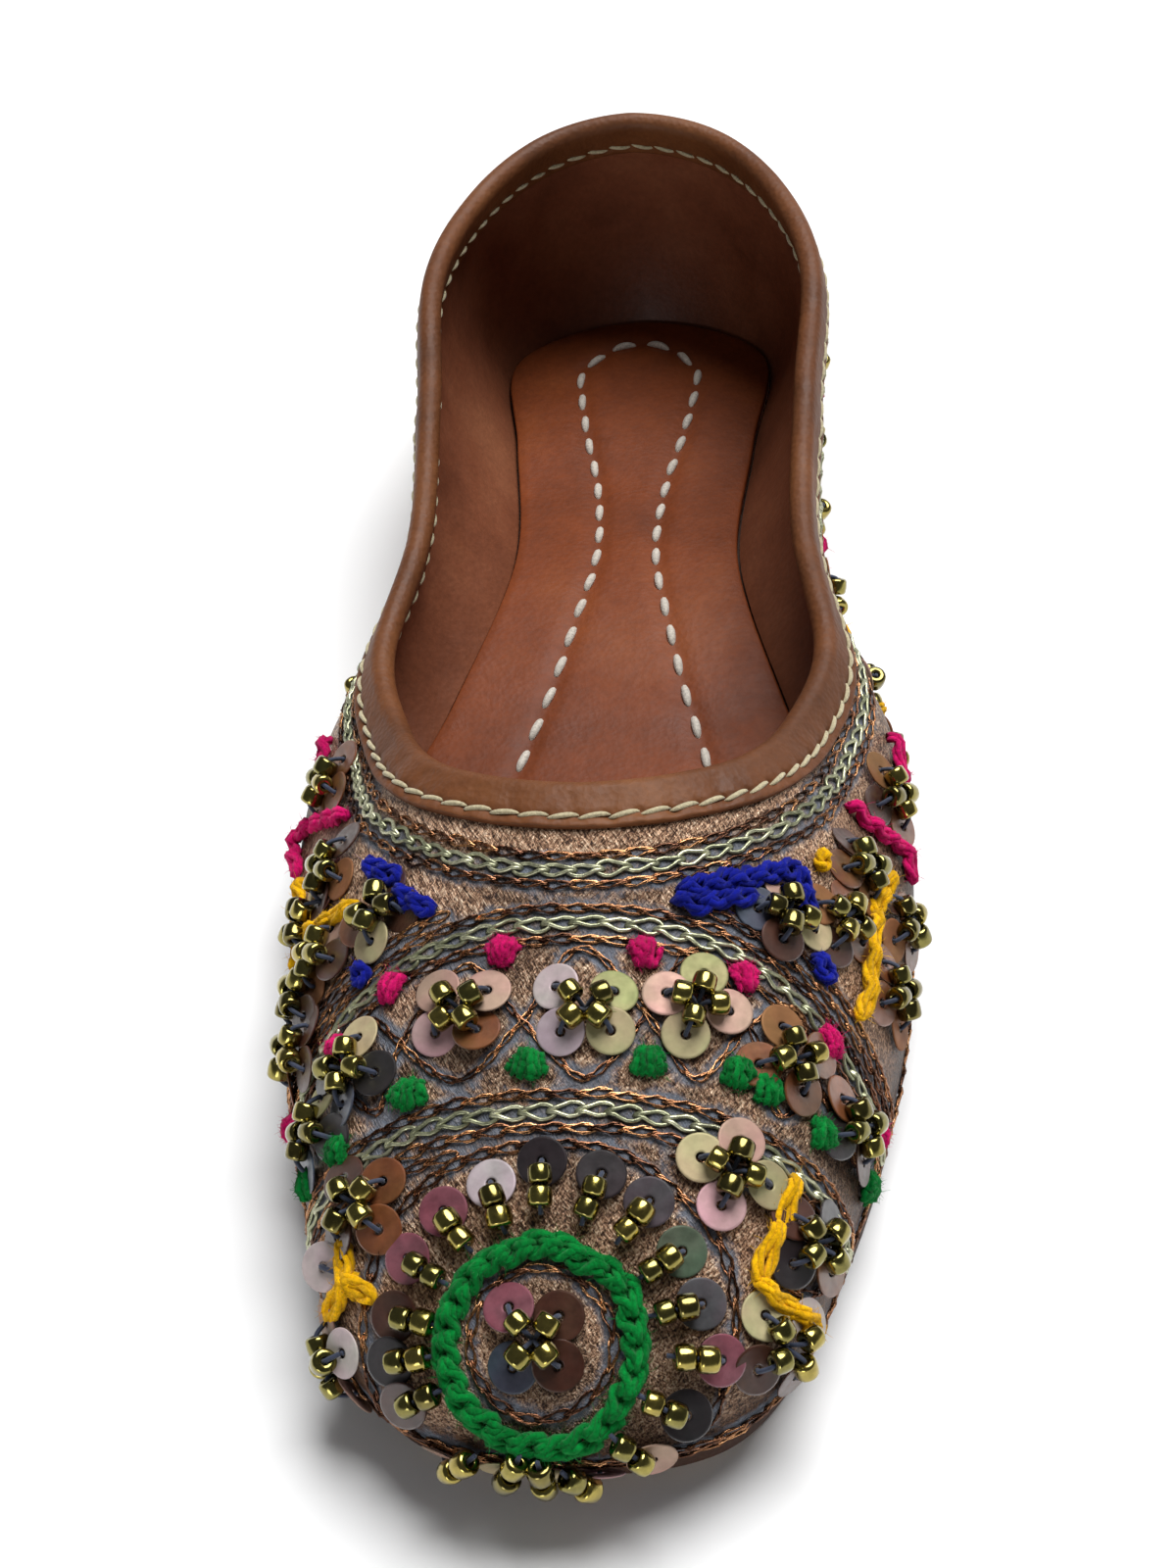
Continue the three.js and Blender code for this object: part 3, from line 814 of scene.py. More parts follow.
def make_binding():
    laps = lap_stations(BINDING_STATIONS)
    edge, normal, up = wall_frame(laps, np.ones(len(laps)))
    middle_row = int(np.argmin(np.abs(LEG_DROPS - STITCH_DROP)))
    rises = rise_below(laps, np.repeat(LEG_DROPS[None], len(laps), axis=0))
    leg, leg_normal, _ = wall_frame(laps[:, None], rises)
    leg = leg + leg_normal * creased(leg)[..., None]
    seam, seam_normal = leg[:, middle_row], leg_normal[:, middle_row]
    gone = Route.lengths(np.concatenate([seam, seam[:1]]))
    push = binding_lift(gone[:-1, None], gone[-1], LEG_DROPS[None])
    full = GAP + BINDING_LEATHER
    lips = np.array(CUT_LIPS + (0.0,) * (len(LEG_DROPS) - len(CUT_LIPS)))
    outside = leg + leg_normal * (full - lips + push)[..., None]
    inside = leg - leg_normal * (WALL + full - lips + INNER_PUSH * push)[..., None]
    middle = edge - normal * WALL / 2
    turn = np.linspace(0, np.pi, FOLD_STEPS)[None, :, None]
    roll = np.cos(turn) * normal[:, None] + np.sin(turn) * up[:, None]
    fold = middle[:, None] + (WALL / 2 + full) * roll
    under = leg + leg_normal * (GAP / 2)
    under_in = leg - leg_normal * (WALL + GAP / 2)
    bed = WALL / 2 + GAP / 2
    back = [under_in[:, 0], under_in[:, LEG_MIDDLE], under_in[:, -1],
            middle - normal * bed, middle + up * bed, middle + normal * bed,
            under[:, -1], under[:, LEG_MIDDLE], under[:, 0]]
    profile = np.concatenate([outside, fold, inside[:, ::-1], np.stack(back, axis=1)], axis=1)
    build = Build()
    build.add(profile, grid_faces(len(laps), profile.shape[1], wrap_rows=True, wrap_columns=True))
    build.make("collar_binding", [TAN], "binding_leather", ["binding"])
    stitches = Build()
    for face, bed in BINDING_STITCH_BED.items():
        depth = full - bed if face > 0 else -(WALL + full - bed)
        line = seam + seam_normal * depth
        sew(stitches, line, seam_normal * face, lean=-BINDING_STITCH_LEAN * face, **BINDING_STITCH)
    stitches.make("binding_stitches", [CREAM], "gold_thread")


STITCH_STEPS, STITCH_DIVE, STITCH_CORE = 9, 0.4, 0.09
DIVE_POWER, SPINDLE_POWERS = 2.4, (2.2, 0.6)  # how late a stitch dives and how full its ends are


# Spindle stitches along a closed line with its normals
def sew(build, line, normals, pitch, half, thick, lean, lift):
    line, normals = np.concatenate([line, line[:1]]), np.concatenate([normals, normals[:1]])
    gone = Route.lengths(line)
    count = int(round(gone[-1] / pitch))
    middles = (np.arange(count) + 0.5) * gone[-1] / count
    t = np.linspace(-1, 1, STITCH_STEPS)
    s = middles[:, None] + half * t[None]
    points = Route.between(gone, line, s)
    ups = unit(Route.between(gone, normals, s))
    run = unit(np.gradient(points, axis=1))
    side = np.cross(run, ups)
    sway = lean * np.sin(t * np.pi / 2) * (0.8 + 0.4 * rng.random((count, 1)))
    rise = lift - (lift + STITCH_DIVE) * np.abs(t) ** DIVE_POWER
    paths = points + side * sway[..., None] + ups * rise[:, None]
    radius = thick * (1 - np.abs(t) ** SPINDLE_POWERS[0]) ** SPINDLE_POWERS[1] + STITCH_CORE
    build.tubes(paths, ups, radius[None], sides=7)


UNDER_COLUMNS, ROUND_STEPS = 10, 6


# Slab that follows the underside's curve, with rounded edges and a relief on its top; its tint is 1
# on the edge and the top, 0 underneath: on the sole, a burnished edge that is also painted shade, and
# painted shade on the top
def slab(build, offset, bottom, thickness, rounding, relief, stations=220, columns=44):
    at = np.linspace(0, 1, stations + 1)
    at = at - BUNCH * np.sin(2 * np.pi * at)
    place, out = outline("foot", at)
    turn = np.linspace(0, np.pi / 2, ROUND_STEPS)
    inward = np.concatenate([[rounding], rounding * (1 - np.sin(turn)), rounding * (1 - np.cos(turn))])
    height = np.concatenate([[0], rounding * (1 - np.cos(turn)), thickness - rounding * (1 - np.sin(turn))])
    rim = place[:, None] + out[:, None] * (offset - inward)[None, :, None]
    rim[..., 0] = np.maximum(rim[..., 0], 0)
    rim_z = floor_rise(rim[..., 1]) + bottom + height
    share = np.linspace(1, -1, columns + 1)[1:-1]
    under_share = np.linspace(-1, 1, UNDER_COLUMNS + 1)[1:-1]
    top_x = rim[:, -1:, 0] * share[None]
    top_y = np.repeat(rim[:, -1:, 1], len(share), axis=1)
    top_z = floor_rise(top_y) + bottom + thickness + relief(top_x, top_y)
    under_x = rim[:, :1, 0] * under_share[None]
    under_y = np.repeat(rim[:, :1, 1], len(under_share), axis=1)
    right = np.concatenate([rim, rim_z[..., None]], axis=-1)
    left = right[:, ::-1] * np.array([-1, 1, 1])
    top = np.stack([top_x, top_y, top_z], axis=-1)
    under = np.stack([under_x, under_y, floor_rise(under_y) + bottom], axis=-1)
    rings = np.concatenate([right, top, left, under], axis=1)
    faces = grid_faces(len(at), rings.shape[1], wrap_columns=True)
    # 1 on the edge and the top: a burnished edge that is also painted shade, and painted shade on the top
    wear_and_painted_light = np.where(np.arange(rings.shape[1]) < rings.shape[1] - len(under_share), 1.0, 0.0)
    build.add(rings, faces[:, ::-1], np.broadcast_to(wear_and_painted_light[:, None], rings.shape).reshape(-1, 3))


# Stitch rows of the insole: place along the foot and distance from the middle line, in mm
INSOLE_ROW = (
    (106.2, 0.0), (104.6, 5.0), (100.5, 8.6), (96, 10.6), (80, 8.7), (65, 6.0), (50, 4.8), (40, 5.2),
    (31, 6.7), (14, 10.0), (0, 13.5), (-18, 17.5), (-40, 20.0), (-60, 18.0), (-76, 12.0), (-84, 4.0),
    (-85, 0.0),
)
INSOLE_STITCH = {"pitch": 6.6, "half": 2.5, "thick": 0.62, "lean": 0.15, "lift": 0.25}
INSOLE_EASE, INSOLE_ROUND = 0.25, 0.45  # the soft edge fills part of its gap to the lining
INSOLE_CROWN, CROWN_HALF = 0.25, 34
ROW_DEPTH, ROW_WIDTH = 0.5, 1.7
SOLE_ROUND = 0.8


def insole_line():
    half = np.array(INSOLE_ROW, float)
    loop = np.concatenate([half[:, ::-1], half[-2:0:-1, ::-1] * np.array([-1, 1])])
    return through(loop, closed=True, steps=10)


# Low crown, pulled in along the stitch rows
def insole_relief(x, y):
    away = np.full(np.shape(x), np.inf)
    for px, py in insole_line():
        away = np.minimum(away, (x - px) ** 2 + (y - py) ** 2)
    crown = INSOLE_CROWN * np.cos(np.clip(np.abs(x) / CROWN_HALF, 0, 1) * np.pi / 2)
    return crown - ROW_DEPTH * np.exp(-away / ROW_WIDTH ** 2)


def make_insole():
    pad = Build()
    bottom = SOLE_THICKNESS + GAP
    slab(pad, INSOLE_EASE - INSOLE_INSET, bottom, INSOLE_THICKNESS, INSOLE_ROUND, insole_relief,
         stations=240, columns=64)
    piece = pad.make("insole_sock", [PAD], "insole_leather", ["insole"])
    line = insole_line()
    z = floor_rise(line[:, 1]) + bottom + INSOLE_THICKNESS + insole_relief(line[:, 0], line[:, 1])
    stitches = Build()
    line = np.concatenate([line, z[:, None]], axis=1)
    sew(stitches, line, np.repeat([[0, 0, 1.0]], len(line), axis=0), **INSOLE_STITCH)
    stitches.make("insole_stitches", [WHITE], "gold_thread")


def make_outsole():
    build = Build()
    slab(build, SOLE_EDGE, 0, SOLE_THICKNESS, SOLE_ROUND, lambda x, y: 0 * x, columns=20)
    build.make("leather_outsole", [SOLE], "sole_leather", ["outsole"])


# Chain stitch: each link is a leaf-shaped loop that comes up inside the end of the one before it
LINK_REACH = 1.3  # of the pitch
LINK_WANDER = 0.1
LINK_ROOT, LINK_FLARE, FLARE_EASE = 0.36, 0.76, (0.18, 0.7)  # width at the root, what it gains and where
LINK_OVER, OVER_AT, OVER_HALF = 1.2, 0.22, 0.16  # rise over the link before, in threads, and where
LINK_DIP, DIP_HALF = 0.8, 0.06  # dip of the root, in threads


# Paths of the loops along a route, with the wall's normals
def links(route, pitch, width, thread, steps):
    turn = np.linspace(0, 2 * np.pi, steps, endpoint=False)[None]
    along = (1 - np.cos(turn)) / 2
    tail = 0 if route.closed else LINK_REACH - 1
    count = max(1, int(route.length / pitch - tail + 0.5))
    step = route.length / (count + tail)
    starts = np.arange(count)[:, None] * step
    shake = 1 + LINK_WANDER * rng.standard_normal((len(starts), 1))
    point, normal, run = route.at(starts + LINK_REACH * step * along * (0.97 + 0.03 * shake))
    drift = 0.1 * width * rng.standard_normal((len(starts), 1))
    flare = LINK_ROOT + LINK_FLARE * smooth(*FLARE_EASE, along)
    across = (width / 2 - thread) * np.sin(turn) * flare * shake + drift * along
    over = LINK_OVER * np.exp(-((along - OVER_AT) / OVER_HALF) ** 2)
    over = over - LINK_DIP * np.exp(-(along / DIP_HALF) ** 2)
    rise = thread * (1 + over) + 0.04 * rng.standard_normal((len(starts), 1))
    return point + np.cross(run, normal) * across[..., None] + normal * rise[..., None], normal


# Paths of plies that wind round each closed path, and the frame they wind in
def plied(paths, ups, radius, plies, turns):
    run, side, lift = framed(paths, ups, closed=True)
    share = np.arange(paths.shape[1]) / paths.shape[1]
    turn = 2 * np.pi * (turns * share[None, :, None] + (np.arange(plies) / plies)[:, None, None])
    wound = [paths + radius * (np.cos(t) * side + np.sin(t) * lift) for t in turn]
    return wound, (run, side, lift)


GOLD_LINK = {"pitch": 3.45, "width": 2.25, "thread": 0.28, "steps": 18}
COPPER_LINK = {"pitch": 3.4, "width": 1.65, "thread": 0.25, "steps": 14}
WAVE_LINK = {"pitch": 3.1, "width": 1.15, "thread": 0.2, "steps": 14}
COPPER_PLIES, COPPER_TURNS = 2, 3
COPPER_WIND, COPPER_PLY = 0.48, 0.55  # of the thread: how far out the plies wind, and their radius


def pick(tints, count):
    return np.array(tints)[rng.integers(len(tints), size=count)] * (0.85 + 0.3 * rng.random((count, 1)))


def braid(name, node, route):
    build = Build()
    paths, ups = links(route, **GOLD_LINK)
    tint = pick(PALE_GOLD_TINTS, len(paths))
    build.tubes(paths, ups, GOLD_LINK["thread"], sides=6, closed=True, tint=tint)
    build.make(name, [TILLA], "gold_thread", [node])


# Chain of twisted copper thread
def copper(build, route, link):
    paths, ups = links(route, **link)
    tint = pick(COPPER_TINTS, len(paths))
    for ply in plied(paths, ups, COPPER_WIND * link["thread"], COPPER_PLIES, COPPER_TURNS)[0]:
        shade = 0.8 + 0.4 * rng.random((len(paths), 1))
        build.tubes(ply, ups, COPPER_PLY * link["thread"], sides=3, closed=True, tint=tint * shade)


# Wool: soft plies wound round each path, and loose fibres standing off it
class Wool:
    PLIES, TURNS = 3, 2
    WIND, PLY = 0.45, 0.64  # of the yarn's radius: how far out the plies wind, and their radius
    LINK_STEPS, TUFT_STEPS = 18, 11
    TUFT_LAYERS = ((0.0, 8), (0.6, 5))  # height over the first layer in mm, strands
    TUFT_THREAD, TUFT_HAIRS = 0.5, 150
    HAIR_RADIUS = 0.045

    def __init__(self):
        self.build, self.roots, self.fuzz_tints = Build(), [], []

    def chain(self, route, pitch, width, radius, colour, fuzz):
        paths, ups = links(route, pitch, width, radius, self.LINK_STEPS)
        tint = WOOL_TINTS[colour]
        wound, (run, side, lift) = plied(paths, ups, self.WIND * radius, self.PLIES, self.TURNS)
        for ply in wound:
            thick = radius * self.PLY * (1 + 0.1 * rng.standard_normal(ply.shape[:2]))
            ply = ply + 0.06 * radius * rng.standard_normal(ply.shape)
            shade = 0.75 + 0.5 * rng.random((len(paths), 1))
            self.build.tubes(ply, ups, thick, sides=5, closed=True, tint=tint * shade)
        for _ in range(int(route.length * fuzz)):
            k, i = rng.integers(len(paths)), rng.integers(1, self.LINK_STEPS - 1)
            turn = rng.uniform(-0.3, 1.3) * np.pi
            out = np.cos(turn) * side[k, i] + np.sin(turn) * lift[k, i]
            drift = unit(run[k, i] * rng.uniform(-1, 1) + out * 0.8 + 0.3 * rng.standard_normal(3))
            self.roots.append((paths[k, i] + out * radius * 0.9, out, drift))
            self.fuzz_tints.append(tint * rng.uniform(0.8, 1.3))

    # Tuft of short strands that fan out from a point towards a wider foot
    def tuft(self, at, normal, towards, long, wide, colour):
        x = laid(towards, normal)
        y = np.cross(normal, x)
        t = np.linspace(0, 1, self.TUFT_STEPS)[:, None]
        paths = []
        for layer, rows in self.TUFT_LAYERS:
            for row in np.linspace(-1, 1, rows) * (1 - 0.35 * layer) + 0.12 * rng.standard_normal(rows):
                start = x * (-0.5 * long + 0.3 * rng.random()) + y * (0.16 * wide * row)
                end = x * (0.5 * long * (1 - 0.4 * row ** 2) - 0.3 * rng.random()) + y * (0.4 * wide * row)
                rise = 0.3 + (0.75 + layer) * (1 - 0.45 * row ** 2) * np.sin(np.pi * t) ** 0.7
                paths.append(at + start + (end - start) * t + normal * rise)
        paths = np.array(paths) + 0.13 * rng.standard_normal((len(paths), self.TUFT_STEPS, 3))
        tint = WOOL_TINTS[colour] * (0.7 + 0.5 * rng.random((len(paths), 1)))
        ups = np.broadcast_to(normal, paths.shape)
        thick = self.TUFT_THREAD * np.clip(np.minimum(t, 1 - t) * 6 + 0.4, 0, 1)[None, :, 0]
        thick = thick * (1 + 0.14 * rng.standard_normal(paths.shape[:2]))
        self.build.tubes(paths, ups, thick, sides=5, tint=tint)
        for _ in range(self.TUFT_HAIRS):
            k, i = rng.integers(len(paths)), rng.integers(self.TUFT_STEPS)
            out = unit(normal + 0.9 * rng.standard_normal(3))
            self.roots.append((paths[k, i] + out * 0.3, out, unit(out + 0.9 * rng.standard_normal(3))))
            self.fuzz_tints.append(WOOL_TINTS[colour] * rng.uniform(0.8, 1.3))

    def make(self, name, slot, replaced=()):
        roots = np.array(self.roots)
        t = np.linspace(0, 1, 3)[None, :, None]
        long = rng.uniform(0.5, 1.5, (len(roots), 1, 1))
        paths = roots[:, None, 0] + long * (t * (0.5 * roots[:, None, 1] + 0.5 * roots[:, None, 2])
                                            + t ** 2 * (roots[:, None, 2] - roots[:, None, 1]) * 0.4)
        paths = paths + 0.1 * t * rng.standard_normal(paths.shape)
        ups = np.broadcast_to(np.cross(roots[:, None, 1], roots[:, None, 2]) + 1e-3, paths.shape)
        thick = self.HAIR_RADIUS * (1 - 0.8 * t[..., 0])
        self.build.tubes(paths, ups, thick, sides=3, tint=np.array(self.fuzz_tints))
        self.build.make(name, [WOOL], slot, replaced)


# Sequins, beads and the threads that tie them down
SEQUIN_RADIUS, SEQUIN_HOLE, SEQUIN_THICK, SEQUIN_RIM = 3.0, 0.62, 0.22, 0.3
BEAD_RADIUS, BEAD_HOLE, BEAD_HALF, BEAD_ROUND = 1.5, 0.45, 1.2, 0.5
SEQUIN_SIDES, BEAD_SIDES = 28, 16
TIE_RADIUS = 0.31


def turned(profile, count):
    turn = np.arange(count) * 2 * np.pi / count
    r, h = np.array(profile, float).T
    points = np.stack([r[None] * np.cos(turn)[:, None], r[None] * np.sin(turn)[:, None],
                       np.repeat(h[None], count, axis=0)], axis=-1)
    return points.reshape(-1, 3), grid_faces(count, len(profile), wrap_rows=True, wrap_columns=True)


def sequin_shape():
    bevel = SEQUIN_THICK * 0.4
    radii = np.array([SEQUIN_HOLE, SEQUIN_HOLE + bevel, SEQUIN_HOLE + SEQUIN_RIM,
                      SEQUIN_RADIUS - SEQUIN_RIM, SEQUIN_RADIUS - bevel, SEQUIN_RADIUS])
    top = np.stack([radii, np.full(len(radii), SEQUIN_THICK)], axis=-1)
    top[[0, -1], 1] -= bevel
    under = np.array([[SEQUIN_RADIUS, 0.0], [SEQUIN_HOLE, 0.0]])
    return turned(np.concatenate([top, under]), SEQUIN_SIDES)


def bead_shape():
    turn = np.linspace(0, np.pi / 2, 4)
    edge_r = BEAD_RADIUS - BEAD_ROUND + BEAD_ROUND * np.cos(turn)
    edge_h = BEAD_HALF - BEAD_ROUND + BEAD_ROUND * np.sin(turn)
    outer = np.stack([edge_r, edge_h], axis=-1)
    half = np.concatenate([outer, [[BEAD_HOLE + 0.12, BEAD_HALF - 0.02], [BEAD_HOLE, BEAD_HALF - 0.16]]])
    bulge = np.array([[BEAD_RADIUS + 0.05, 0.0]])
    points, faces = turned(np.concatenate([half[::-1] * [1, -1], bulge, half])[::-1], BEAD_SIDES)
    return points[:, [2, 0, 1]], faces  # its hole lies along x


SEQUIN, BEAD = sequin_shape(), bead_shape()


# Height of a sequin over the bare wall and over a sewn line
SEQUIN_LIFTS = (0.4, 0.95)
SEWN_MARGIN = 0.5  # mm past its edge at which a sewn line still lifts it
RING_CLEAR = 11.7  # from the axis of the wool ring to the nearest bead outside it
FLOWER_REACH, FLOWER_BEAD = 4.0, 2.25  # from a flower's middle to its sequins' holes and to its beads
FLOWER_SPREAD = 9  # degrees by which a sequin is out of its place
BEAD_OVER, TIE_HALF = 0.35, 1.1  # from a sequin up to its bead, and from a bead's middle to its ends
RAY_REACH, RAY_LEAST, RAY_PITCH, RAY_STEP = 4.5, 2, 2.5, 0.25  # from a ray's sequin to its far bead


# Distance of a place from the axis of the wool ring
def from_ring(place):
    return np.linalg.norm(np.cross(place - ring_middle, ring_normal))


class Trim:
    def __init__(self, sewn):
        self.film, self.clear, self.beads, self.ties = Build(), Build(), Build(), Build()
        self.sewn = sewn

    def lift(self, at):
        return SEQUIN_LIFTS[int(self.sewn.away(at)[0] < SEQUIN_RADIUS + SEWN_MARGIN)]

    def sequin(self, at, normal, name):
        build, tints = (self.film, FILM_TINTS) if name in FILM_TINTS else (self.clear, CLEAR_TINTS)
        x = unit(np.cross(normal, rng.standard_normal(3)))
        y = np.cross(normal, x)
        tint = tints[name] * rng.uniform(0.88, 1.12)
        build.stamp(SEQUIN, at[None], x[None], y[None], normal[None], tint)

    def bead(self, at, normal, axis):
        x = laid(axis, normal)
        y = np.cross(normal, x)
        size = rng.uniform(0.94, 1.06)
        tint = BEAD_TINTS[rng.integers(len(BEAD_TINTS))]
        self.beads.stamp(BEAD, at[None], x[None] * size, y[None] * size, normal[None] * size, tint)

    def tie(self, marks, normal):
        path = through(marks, steps=4)[None]
        self.ties.tubes(path, np.broadcast_to(normal, path.shape), TIE_RADIUS, sides=5)

    # Four sequins in a cross, each held by a bead, all tied down in the middle
    def flower(self, at, normal, spin, names, reach=FLOWER_REACH):
        x = laid(PHOTO_RIGHT, normal)
        y = np.cross(normal, x)
        names = names.split()
        for i, name in enumerate(names):
            turn = math.radians(spin + 360 / len(names) * i + rng.uniform(-FLOWER_SPREAD, FLOWER_SPREAD))
            run = x * math.cos(turn) + y * math.sin(turn)
            (hole,), (up,) = on_wall(at + run * reach * rng.uniform(0.92, 1.1))
            up = unit(up + 0.10 * rng.standard_normal(3) + 0.12 * run)
            lift = self.lift(hole)
            self.sequin(hole + up * (lift + 0.1 * (i % 2)), up, name)
            (seat,), (over,) = on_wall(at + run * FLOWER_BEAD)
            lie = run - over * (over @ run)
            middle = seat + over * (lift + BEAD_OVER + BEAD_RADIUS)
            self.bead(middle, over, lie + 0.12 * rng.standard_normal(3))
            self.tie((hole + up * (lift - 0.1), hole + up * (lift + 0.5),
                      middle + lie * TIE_HALF, middle, middle - lie * TIE_HALF,
                      at + run * 0.35 + normal * 1.3, at + normal * 0.4), over)

    # One sequin that stands off the wall, held by a thread over the edge that lies on it
    def lone(self, at, normal, lean, name):
        face = unit(normal * (1 - lean) - PHOTO_AHEAD * lean)
        rise = laid(normal, face)
        middle = at + normal * 0.2 + rise * SEQUIN_RADIUS
        self.sequin(middle, face, name)
        self.tie((middle - face * 0.2, middle + face * 0.6,
                  middle - rise * 2.6 + face * 0.6, at - rise * 0.9), face)

    # One sequin with two beads in line towards the wool ring
    def ray(self, at, normal, name):
        run = laid(ring_middle - at, normal)
        up = unit(normal + 0.08 * rng.standard_normal(3))
        lift = self.lift(at)
        self.sequin(at + up * lift, up, name)
        marks = [at + up * (lift - 0.1), at + up * (lift + 0.4)]
        far = RAY_REACH
        while far > RAY_LEAST and from_ring(on_wall(at + run * far)[0][0]) < RING_CLEAR:
            far -= RAY_STEP
        for reach, under in ((far - RAY_PITCH, lift + 0.2), (far, lift - 0.2)):
            (seat,), (over,) = on_wall(at + run * reach)
            middle = seat + over * (under + BEAD_RADIUS)
            self.bead(middle, over, run + 0.08 * rng.standard_normal(3))
            marks.append(middle)
        marks.append(marks[-1] + run * 1.7 - normal * 1.2)
        self.tie(marks, normal)

    def make(self):
        self.film.make("sequins", [FILM], "gold_thread")
        self.clear.make("sequins_clear", [CLEAR], "gold_thread")
        self.beads.make("seed_beads", [GLASS], "gold_thread")
        self.ties.make("tie_threads", [SLATE], "gold_thread")


# Flowers that show in the photograph: pixel, spin in degrees, sequins from the right leftwards round
SEEN_FLOWERS = (
    ((303, 884), 40, "rose rose pink copper"),
    ((401, 882), 42, "olive silver lilac sand"),
    ((488, 879), 80, "olive rose sand rose"),
    ((560, 921), 20, "copper tan copper copper"),
    ((605, 972), 35, "brown copper smoke brown"),
    ((217, 931), 80, "cream smoke slate smoke"),
    ((190, 981), 70, "cream smoke slate smoke"),
    ((514, 1007), 72, "rose sand pink sand"),
    ((575, 1062), 45, "smoke brown smoke copper"),
    ((553, 1138), 35, "silver cream brown brown"),
    ((223, 1038), 45, "copper brown brown copper"),
    ((205, 1156), 60, "silver rose slate rose"),
    ((361, 1138), 45, "brown plum slate brown"),
    ((557, 808), 88, "rose slate brown cream"),
    ((238, 806), 90, "brown copper sand brown"),
    ((614, 771), 30, "copper brown copper tan"),
    ((600, 812), 70, "copper tan brown copper"),
    ((638, 716), 45, "copper tan brown copper"),
    ((638, 868), 35, "brown copper copper tan"),
    ((645, 814), 60, "copper brown tan copper"),
    ((200, 773), 50, "brown copper brown tan"),
    ((192, 840), 65, "rose cream tan brown"),
    ((198, 705), 40, "copper brown tan copper"),
    ((178, 872), 40, "tan brown copper brown"),
    ((180, 815), 20, "brown cream copper brown"),
    ((176, 918), 50, "brown smoke copper brown"),
)
# Sequins that stand off the wall: pixel of the edge on the wall, lean as a share, sequin
LONE_SEQUINS = (((210, 1090), 0.5, "silver"),)
# Sequins round the wool ring, each with two beads towards it
RING_RAYS = (
    ((261, 1077), "plum"), ((289, 1040), "plum"), ((327, 1018), "lilac"), ((368, 1001), "smoke"),
    ((413, 1011), "smoke"), ((451, 1031), "grey"), ((476, 1068), "sea"), ((491, 1108), "grey"),
    ((505, 1150), "plum"), ((479, 1192), "smoke"), ((452, 1222), "rose"), ((250, 1122), "brown"),
    ((247, 1157), "smoke"), ((258, 1190), "brown"), ((293, 1225), "rose"), ((338, 1234), "sand"),
    ((373, 1237), "cream"), ((412, 1234), "pink"),
)
# Wool knots: colour and pixels
SEEN_KNOTS = {
    "pink": ((336, 835), (248, 864), (447, 836), (525, 855), (590, 905), (205, 914), (170, 976),
             (626, 975)),
    "green": ((357, 925), (450, 922), (520, 930), (543, 943), (261, 949), (206, 994), (584, 976),
              (618, 1016), (182, 1020)),
}
# Wool chains: colour and the pixels that they run through
SEEN_WOOL = {
    "blue": (
        ((476, 787), (500, 784), (530, 779), (566, 772)),
        ((472, 796), (500, 797), (532, 794)),
        ((566, 773), (570, 788), (574, 806)),
        ((579, 840), (587, 858)),
        ((230, 767), (240, 774), (250, 781)),
        ((253, 789), (266, 797), (279, 805)),
        ((224, 848), (227, 859)),
    ),
    "yellow": (
        ((563, 1010), (550, 1045), (538, 1076), (534, 1090)),
        ((534, 1090), (547, 1103), (564, 1114), (578, 1128)),
        ((218, 1106), (214, 1090), (211, 1066)),
        ((212, 1092), (222, 1100), (234, 1110)),
        ((219, 1092), (211, 1106), (200, 1122)),
        ((583, 760), (584, 770)),
        ((624, 806), (622, 830), (620, 852), (618, 870), (611, 885)),
        ((636, 776), (630, 792), (624, 806)),
        ((220, 800), (198, 812), (177, 826), (170, 848)),
        ((176, 780), (174, 800), (177, 826)),
    ),
    "pink": (
        ((606, 722), (627, 742), (649, 760), (654, 779)),
        ((638, 667), (643, 685), (648, 701)),
        ((196, 667), (191, 685)),
        ((211, 727), (192, 732), (172, 745), (173, 772)),
    ),
}
# Copper chains of the vamp band: two waves that cross between its flowers, and other lines
BAND_CROSSINGS = ((208, 951), (254, 909), (351, 890), (449, 884), (529, 893), (584, 943))
BAND_TOPS = ((228, 890), (306, 847), (398, 832), (488, 833), (566, 880))
BAND_BOTTOMS = ((236, 962), (301, 938), (402, 934), (488, 935), (552, 962))
BAND_ENDS = ((186, 996), (612, 1000))
SEEN_COPPER = (
    ((250, 1046), (275, 1018), (305, 1000), (345, 988), (390, 986), (430, 993), (462, 1013),
     (492, 1043), (511, 1072), (517, 1105), (517, 1135), (510, 1168), (497, 1200)),
    ((250, 1046), (236, 1075), (228, 1108), (226, 1140), (232, 1175), (246, 1205)),
    ((556, 1035), (580, 1030), (597, 1052), (592, 1085), (570, 1100), (555, 1080), (556, 1035)),
)

# Quarters behind the photograph's view: chevrons of wool with flowers, round the heel
CHEVRONS = {"lap": 0.304, "count": 15, "low": 0.2, "high": 0.47, "flower": 0.36, "between": 0.25,
            "reach": 3.4}
CHEVRON_COLOURS = ("yellow", "pink")
QUARTER_TINTS = ("copper tan brown copper", "rose cream brown tan", "copper sand brown rose")


# Wool chains: pitch and width of the loops and radius of the yarn, in mm
WOOL_CHAINS = {
    "blue": (3.1, 3.4, 0.76), "yellow": (4.8, 2.9, 0.76), "pink": (4.4, 2.9, 0.78),
    "green": (2.9, 3.6, 0.84)}
FILLING_FUZZ, RING_FUZZ = 5, 14  # loose fibres on a millimetre of chain
# Copper rows beside the gold of the collar, mm down the side
COLLAR_ROWS = (-1.95, 2.1)
FEATHER_ROWS = (0.05, 0.12)  # shares of the wall's height
RING_ROW = 2.6  # mm inside the wool ring
